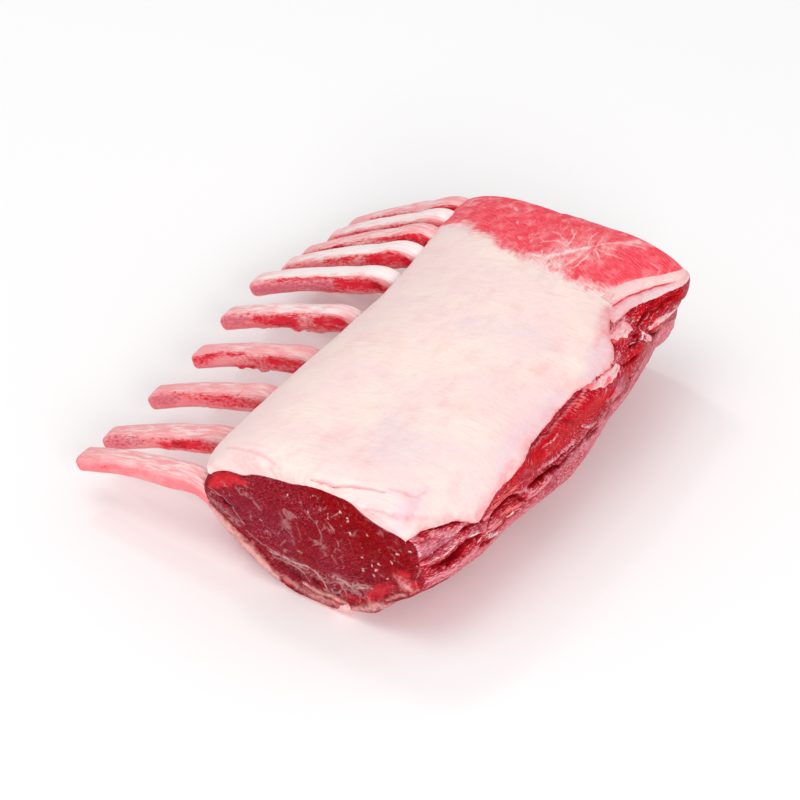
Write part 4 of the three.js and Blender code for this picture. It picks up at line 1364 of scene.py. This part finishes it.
def makeCutFace(name, station, facing, marks, depthOf, seed):  # a swollen disc with a thin wall behind
    columns, rows = marks["grid"]
    ring, angle = discGrid(columns, rows)
    midY, midZ, _, _ = section(np.float64(station))
    rim = under(station, angle, depthOf(angle) - 0.1, loin["floor"])
    centre = np.array([station, midY, midZ - cutFace["centreDrop"]])
    points = centre + ring[..., None] * (rim - centre)
    out, masks = cutMeat(points[..., 1:], ring, angle, marks, seed)
    points[..., 0] = station + facing * out
    edge = roundGrid(columns, rows)
    behind = station - facing * cutFace["thickness"]
    turn = angle.ravel()[edge]
    back = under(behind, turn, depthOf(turn) + 0.5, loin["floor"])
    middle = np.array([[behind, midY, midZ - cutFace["centreDrop"]]])
    count = columns * rows
    whole = pickMasks(masks, count, np.concatenate([np.arange(count), edge, edge[:1]]))
    after = np.roll(edge, -1)
    outer = count + np.arange(len(edge))
    outerAfter = np.roll(outer, -1)
    wall = np.stack([after, edge, outer, outerAfter], -1)
    fan = np.stack([outerAfter, outer, np.full(len(edge), count + len(edge))], -1)
    faces = [gridFaces(columns, rows), wall, fan]
    if facing < 0:
        faces = [f[:, ::-1] for f in faces]
    points = np.concatenate([points.reshape(-1, 3), back, middle])
    makePiece(name, points, faces, loinCutMaterial, whole, smoothParts=1)


makeCutFace("frontCut", 0.1, -1, frontCut, frontDepth, 101)
makeCutFace("farCut", rack["length"] - 0.1, 1, farCut, farDepth, 211)

# ---- ribs

rib = {
    "halfWidth": 4.4,
    "halfThickness": 3.3,
    "rootSwell": (0.08, 0.28),  # extra width and thickness where it leaves the meat, as shares
    "bareThick": 0.18,
    "tipSlope": 0.35,
    "tipRun": 0.025,  # share of its length
    "inset": 2.9,
    "floor": 2.8,
    "rootY": 51.0,
    "archHeight": 2.6,
    "angles": (300, 283, 266, 249, 232, 215),
    "power": 2.9,
    "rows": 190,
    "columns": 56,
    "bare": 60.0,  # mm of it out of the meat
    "side": 12.0,  # mm of skin from its top to its underside
    "skinRadius": 4.0,
}
# Each bone: place along the backbone, height where it leaves the meat, its tip's y and z, how pale
# its top is, how ragged its lower edge is, and strokes over its side: (mm from the root, mm down
# from its top), width in mm, strength.
bones = (
    {
        "line": (4.8, 30.6, 105, 19), "pale": 0.25, "ragged": 0.1,
        "reds": (
            (((-6, 8.5), (4, 8.5), (14, 9.5)), 1.0, 0.8),
            (((-4, 3), (6, 3.4), (20, 2.4)), 0.5, 0.4),
            (((44, 6), (48, 6.5)), 1.0, 0.45),
        ),
        "mauves": ((((48, 3), (58, 3)), 2.0, 0.3),),
    },
    {
        "line": (25, 34.9, 108.3, 13), "pale": 0.2, "ragged": 0.3,
        "reds": ((((-6, 7), (20, 6.4), (40, 5.6)), 1.7, 1.0), (((45, 4.5), (60, 5)), 2.6, 0.45)),
        "mauves": ((((40, 5), (50, 5), (58, 5)), 2.4, 0.6), (((4, 8.8), (40, 8.4)), 1.2, 0.4)),
    },
    {
        "line": (50, 37.3, 105.7, 16.8), "pale": 0.1, "ragged": 0.4,
        "reds": (
            (((-6, 6.2), (20, 5.2), (46, 4.2)), 1.8, 1.0),
            (((46, 3), (60, 3.5)), 1.2, 0.7),
            (((12, 2), (14, 4)), 0.5, 0.7),
        ),
        "mauves": ((((44, 5.4), (52, 5), (59, 5)), 2.0, 0.8),),
    },
    {
        "line": (76, 37.8, 104.4, 19.5), "pale": 0.05, "ragged": 1.0,
        "reds": (
            (((-8, 6.6), (10, 5.6), (34, 4.2), (59, 4)), 2.1, 1.0),
            (((4, 8.4), (20, 8), (40, 7.6)), 1.4, 1.0),
            (((50, 5), (60, 5)), 2.4, 0.7),
        ),
        "mauves": ((((14, 6.8), (28, 6.4), (38, 6)), 0.8, 0.6),),
    },
    {
        "line": (102, 40.1, 109.5, 19), "pale": 0.55, "ragged": 1.0,
        "reds": (
            (((-8, 6.4), (20, 5.8), (42, 5.6)), 3.2, 1.0),
            (((42, 3.2), (60, 3.2)), 0.9, 0.85),
            (((44, 7.4), (60, 7)), 1.2, 0.5),
        ),
        "mauves": ((((44, 5), (60, 5)), 1.8, 0.8),),
    },
    {
        "line": (128, 42.1, 113.8, 17.2), "pale": 1.0, "ragged": 0.35,
        "reds": (
            (((-8, 6.6), (6, 6), (16, 5.2)), 2.4, 0.95),
            (((14, 4.4), (36, 4), (58, 3.8)), 1.0, 0.85),
            (((10, 8.4), (40, 8)), 1.8, 0.7),
        ),
        "mauves": ((((12, 6.4), (36, 6.2), (58, 6)), 2.2, 0.8),),
    },
    {
        "line": (144, 44.4, 110, 16.4), "pale": 0.95, "ragged": 0.4,
        "reds": ((((-12, 6.4), (2, 5.6), (14, 5), (26, 4.8)), 2.2, 0.95), (((22, 5), (56, 4.4)), 1.3, 0.7)),
        "mauves": ((((26, 6.4), (50, 6)), 1.4, 0.4),),
    },
    {
        "line": (156.5, 45.2, 109.8, 14.3), "pale": 0.25, "ragged": 0.3,
        "reds": (
            (((-12, 5.6), (2, 4.6), (20, 4.2), (40, 3.8)), 2.2, 1.0),
            (((36, 3.8), (58, 3.6)), 1.2, 0.7),
            (((47, 2.4), (48, 2.8)), 0.8, 1.0),
        ),
        "mauves": ((((20, 6.6), (44, 6.4)), 1.4, 0.4),),
    },
    {
        "line": (168.5, 45.1, 104.8, 17), "pale": 0.8, "ragged": 0.2,
        "reds": ((((-10, 6), (2, 5.2), (20, 4.6), (54, 4)), 1.3, 0.7),),
        "mauves": ((((30, 6.4), (50, 6)), 1.2, 0.2),),
    },
    {
        "line": (180, 44.2, 103.8, 16), "pale": 0.15, "ragged": 0.3,
        "reds": (
            (((-12, 5.6), (2, 4.6), (20, 4.2), (44, 3.8)), 2.2, 1.0),
            (((44, 2.4), (45, 2.8)), 0.8, 1.0),
        ),
        "mauves": ((((26, 6.4), (50, 6)), 1.4, 0.4),),
    },
)


def evenCurve(points, count):  # a centripetal Catmull-Rom curve through the points, at even steps
    points = np.array(points, float)
    points = np.vstack([2 * points[0] - points[1], points, 2 * points[-1] - points[-2]])
    fine = []
    for k in range(1, len(points) - 2):
        level = list(points[k - 1 : k + 3])
        gaps = np.linalg.norm(np.diff(level, axis=0), axis=1) ** 0.5
        knots = np.concatenate([[0], np.cumsum(gaps)])
        t = np.linspace(knots[1], knots[2], 24, endpoint=k == len(points) - 3)[:, None]
        for spans in (((0, 1), (1, 2), (2, 3)), ((0, 2), (1, 3)), ((1, 2),)):
            level = [
                ((knots[b] - t) * level[i] + (t - knots[a]) * level[i + 1]) / (knots[b] - knots[a])
                for i, (a, b) in enumerate(spans)
            ]
        fine.append(level[0])
    fine = np.vstack(fine)
    length = np.concatenate([[0], np.cumsum(np.linalg.norm(np.diff(fine, axis=0), axis=1))])
    even = np.linspace(0, length[-1], count)
    return np.stack([np.interp(even, length, fine[:, k]) for k in range(3)], -1), length[-1]


def boneLine(bone, count):
    x, rootZ, tipY, tipZ = bone["line"]
    line = [under(x, float(a), rib["inset"], rib["floor"]) for a in rib["angles"]]
    for share in (0, 0.3, 0.65, 1):
        arch = rib["archHeight"] * math.sin(math.pi * share)
        line.append((x, lerp(rib["rootY"], tipY, share), lerp(rootZ, tipZ, share) + arch))
    return evenCurve(line, count)


def makeRib(index, bone):  # u runs from its head under the loin to its tip, and v round it
    rows, columns, seed = rib["rows"], rib["columns"], 300 + 17 * index
    line, length = boneLine(bone, rows)
    tangent = np.gradient(line, axis=0)
    tangent /= np.linalg.norm(tangent, axis=1, keepdims=True)
    side = np.array([1.0, 0.0, 0.0])
    normal = np.cross(tangent, side)  # points down where the bone is bare
    even = np.linspace(0, 1, rows)
    u, v = gridOf(even**0.85, np.arange(columns) / columns)
    line, normal = (
        np.stack([np.interp(u[:, 0], even, values[:, k]) for k in range(3)], -1) for values in (line, normal)
    )
    turn = 2 * np.pi * v
    c, s = np.cos(turn), np.sin(turn)
    fromRoot = u * length - (length - rib["bare"])
    bare = fromRoot / rib["bare"]  # 0 where the bone leaves the meat, 1 at its tip
    radius = rib["skinRadius"]
    place = np.stack([u * length, c * radius + 31 * index, s * radius], -1)
    long = place / (4.0, 1, 1)
    down = 0.5 + np.arctan2(s, -c) / np.pi  # 0 on top, 0.5 in front, 1 below
    ragged = down + 0.07 * cloud(long, 3.5, seed) + 0.05 * cloud(place, 1.6, seed + 2)
    spot = np.stack([fromRoot + 3 * cloud(place, 4, seed + 4), ragged * rib["side"]], -1)
    red = strokes(spot, bone["reds"]) * limited(0.85 + 1.1 * cloud(long, 2.5, seed + 6))
    mauve = strokes(spot, bone["mauves"])
    flaps = window(down, 0.45, 0.65, 0.8, 1.1)
    flaps = flaps * patches(place / (2, 1, 1), 3, seed + 8, -0.1, 0.6)
    flaps = flaps * bone["ragged"] * window(bare, -0.1, 0.1, 0.6, 0.75)
    root = window(u, 0.45, 0.62, 0.62, 0.88)
    rounding = 0.12 * smooth(u, 0.99, 1.0) ** 2 + 0.18 * (1 - smooth(u, 0, 0.01))
    size = 1 + 0.18 * (1 - smooth(u, 0, 0.12)) - rounding
    thicker = rib["rootSwell"][1] * root + rib["bareThick"] * smooth(u, 0.5, 0.65)
    upper = np.where(s < 0, 1 - rib["tipSlope"] * smooth(u, 1 - rib["tipRun"], 1), 1)
    power = 2 / rib["power"]
    lumps = 0.3 * cloud(place, 9, seed + 10) + 0.12 * cloud(long, 1.6, seed + 12)
    wide = rib["halfWidth"] * (size + rib["rootSwell"][0] * root) + lumps - 0.5 * red + 0.8 * flaps
    thick = rib["halfThickness"] * (size + thicker) * upper + 0.6 * lumps + 1.3 * flaps
    wide = np.sign(c) * np.abs(c) ** power * wide
    thick = np.sign(s) * np.abs(s) ** power * thick
    rings = line[:, None] + wide[..., None] * side + thick[..., None] * normal[:, None]
    rings[..., 2] = np.maximum(rings[..., 2], rack["table"])
    tip = smooth(bare, 0.74, 0.86)
    endFace = smooth(u, 0.985, 0.995)  # sawn flat
    blotch = cloud(long, 3.2, seed + 14)
    low = smooth(ragged, 0.32, 0.5)
    pink = low * (0.6 + 0.5 * blotch) + 0.35 * smooth(blotch, -0.1, 0.6)
    pink = pink + 0.35 * tip * (1 - 0.5 * bone["pale"])
    pink = pink - 0.5 * smooth(down, 0.72, 0.9) * patches(long, 4, seed + 18, -0.3, 0.3)
    pink = pink * smooth(u, 0.3, 0.45)
    onTop = (1 - smooth(ragged, 0.1, 0.36)) * (1 - 0.5 * smooth(bare, 0.5, 1))
    masks = {
        "pink": limited(pink + 0.35 * endFace + 0.6 * flaps),
        "mauve": limited(mauve),
        "red": limited(red + 0.7 * flaps * smooth(blotch, -0.3, 0.4)),
        "dark": limited(0.9 * smooth(red, 0.5, 1) * patches(long, 1.6, seed + 16, -0.2, 0.5)),
        "pale": limited(bone["pale"] * onTop),
        "fibre": fibreMap(u * length, turn * radius, index * 9.0),
    }
    ends = np.array([line[0], line[-1]])
    ringPiece(f"rib{index + 1:02d}", rings, ends, ribBoneMaterial, masks, [f"rib_{index + 1:02d}"])


for index, bone in enumerate(bones):
    makeRib(index, bone)

# ---- scraps of fat on the chine side

scraps = (  # lower and upper outline: mm, degrees
    {
        "low": ((101, 15), (105, 12.8), (110, 10.2), (116, 9.4), (122, 10.2)),
        "high": ((101, 15.6), (106, 15.4), (113, 14.6), (122, 12.8)),
    },
    {
        "low": ((126, 21.4), (129, 18.6), (133, 15.6), (140, 15.2)),
        "high": ((126, 22), (131, 20.8), (140, 19.4)),
    },
    {
        "low": ((142.5, 8.4), (145, 5.6), (148.5, 1.8)),
        "high": ((142.5, 9.8), (145, 9.2), (148.5, 4)),
    },
    {
        "low": ((146, 9.9), (152, 7.4), (160, 3.6), (170, -1.5), (178, -4)),
        "high": ((146, 10.9), (153, 9.4), (160, 7.2), (170, 1.6), (178, -1.5)),
    },
)
scrapShape = {"rows": 120, "columns": 56, "sunk": 0.8, "thickness": 0.6, "endShare": 0.08}


def makeScrap(index, scrap):
    seed = 500 + 11 * index
    u, v = gridOf(np.linspace(0, 1, scrapShape["rows"]), np.linspace(-1, 1, scrapShape["columns"]))
    x = lerp(scrap["low"][0][0], scrap["low"][-1][0], u) + 0.5 * (1 - v * v)
    edge = np.stack([x, 6 * np.sign(v)], -1)
    low = along(scrap["low"], x) - 1.3 * cloud(edge, 2.6, seed)
    high = along(scrap["high"], x) + 1.0 * cloud(edge, 2.6, seed + 2)
    closing = limited(np.minimum(u, 1 - u) / scrapShape["endShare"]) ** 0.5
    angle = (low + high) / 2 + v * (high - low) / 2 * closing
    flat = skinFlat(x, angle)
    rim = np.maximum(np.abs(v), np.abs(2 * u - 1)) ** 5
    ground = loinDepth(x, np.mod(angle, 360))
    wavy = 0.4 * cloud(flat / (2, 1), 2.5, seed + 3) + 0.2 * cloud(flat, 1.2, seed + 4)
    upper = under(x, angle, lerp(scrapShape["sunk"] - wavy, ground + 0.1, rim))
    lower = under(x, angle, ground + scrapShape["thickness"])
    masks = {
        "cool": 0.35 + 0 * x,
        "blush": limited(0.75 + 0.8 * cloud(flat / (2, 1), 3, seed + 5) + 0.4 * rim),
        "red": limited(0.6 * rim + 0.8 * patches(flat / (3, 1), 2.5, seed + 7, 0.1, 0.6)),
        "fibre": fibreMap(flat[..., 0], flat[..., 1]),
    }
    number = index + 1
    shellPiece(f"fatScrap{number}", upper, lower, backFatMaterial, masks, [f"fat_scrap_{number}"])


for index, scrap in enumerate(scraps):
    makeScrap(index, scrap)
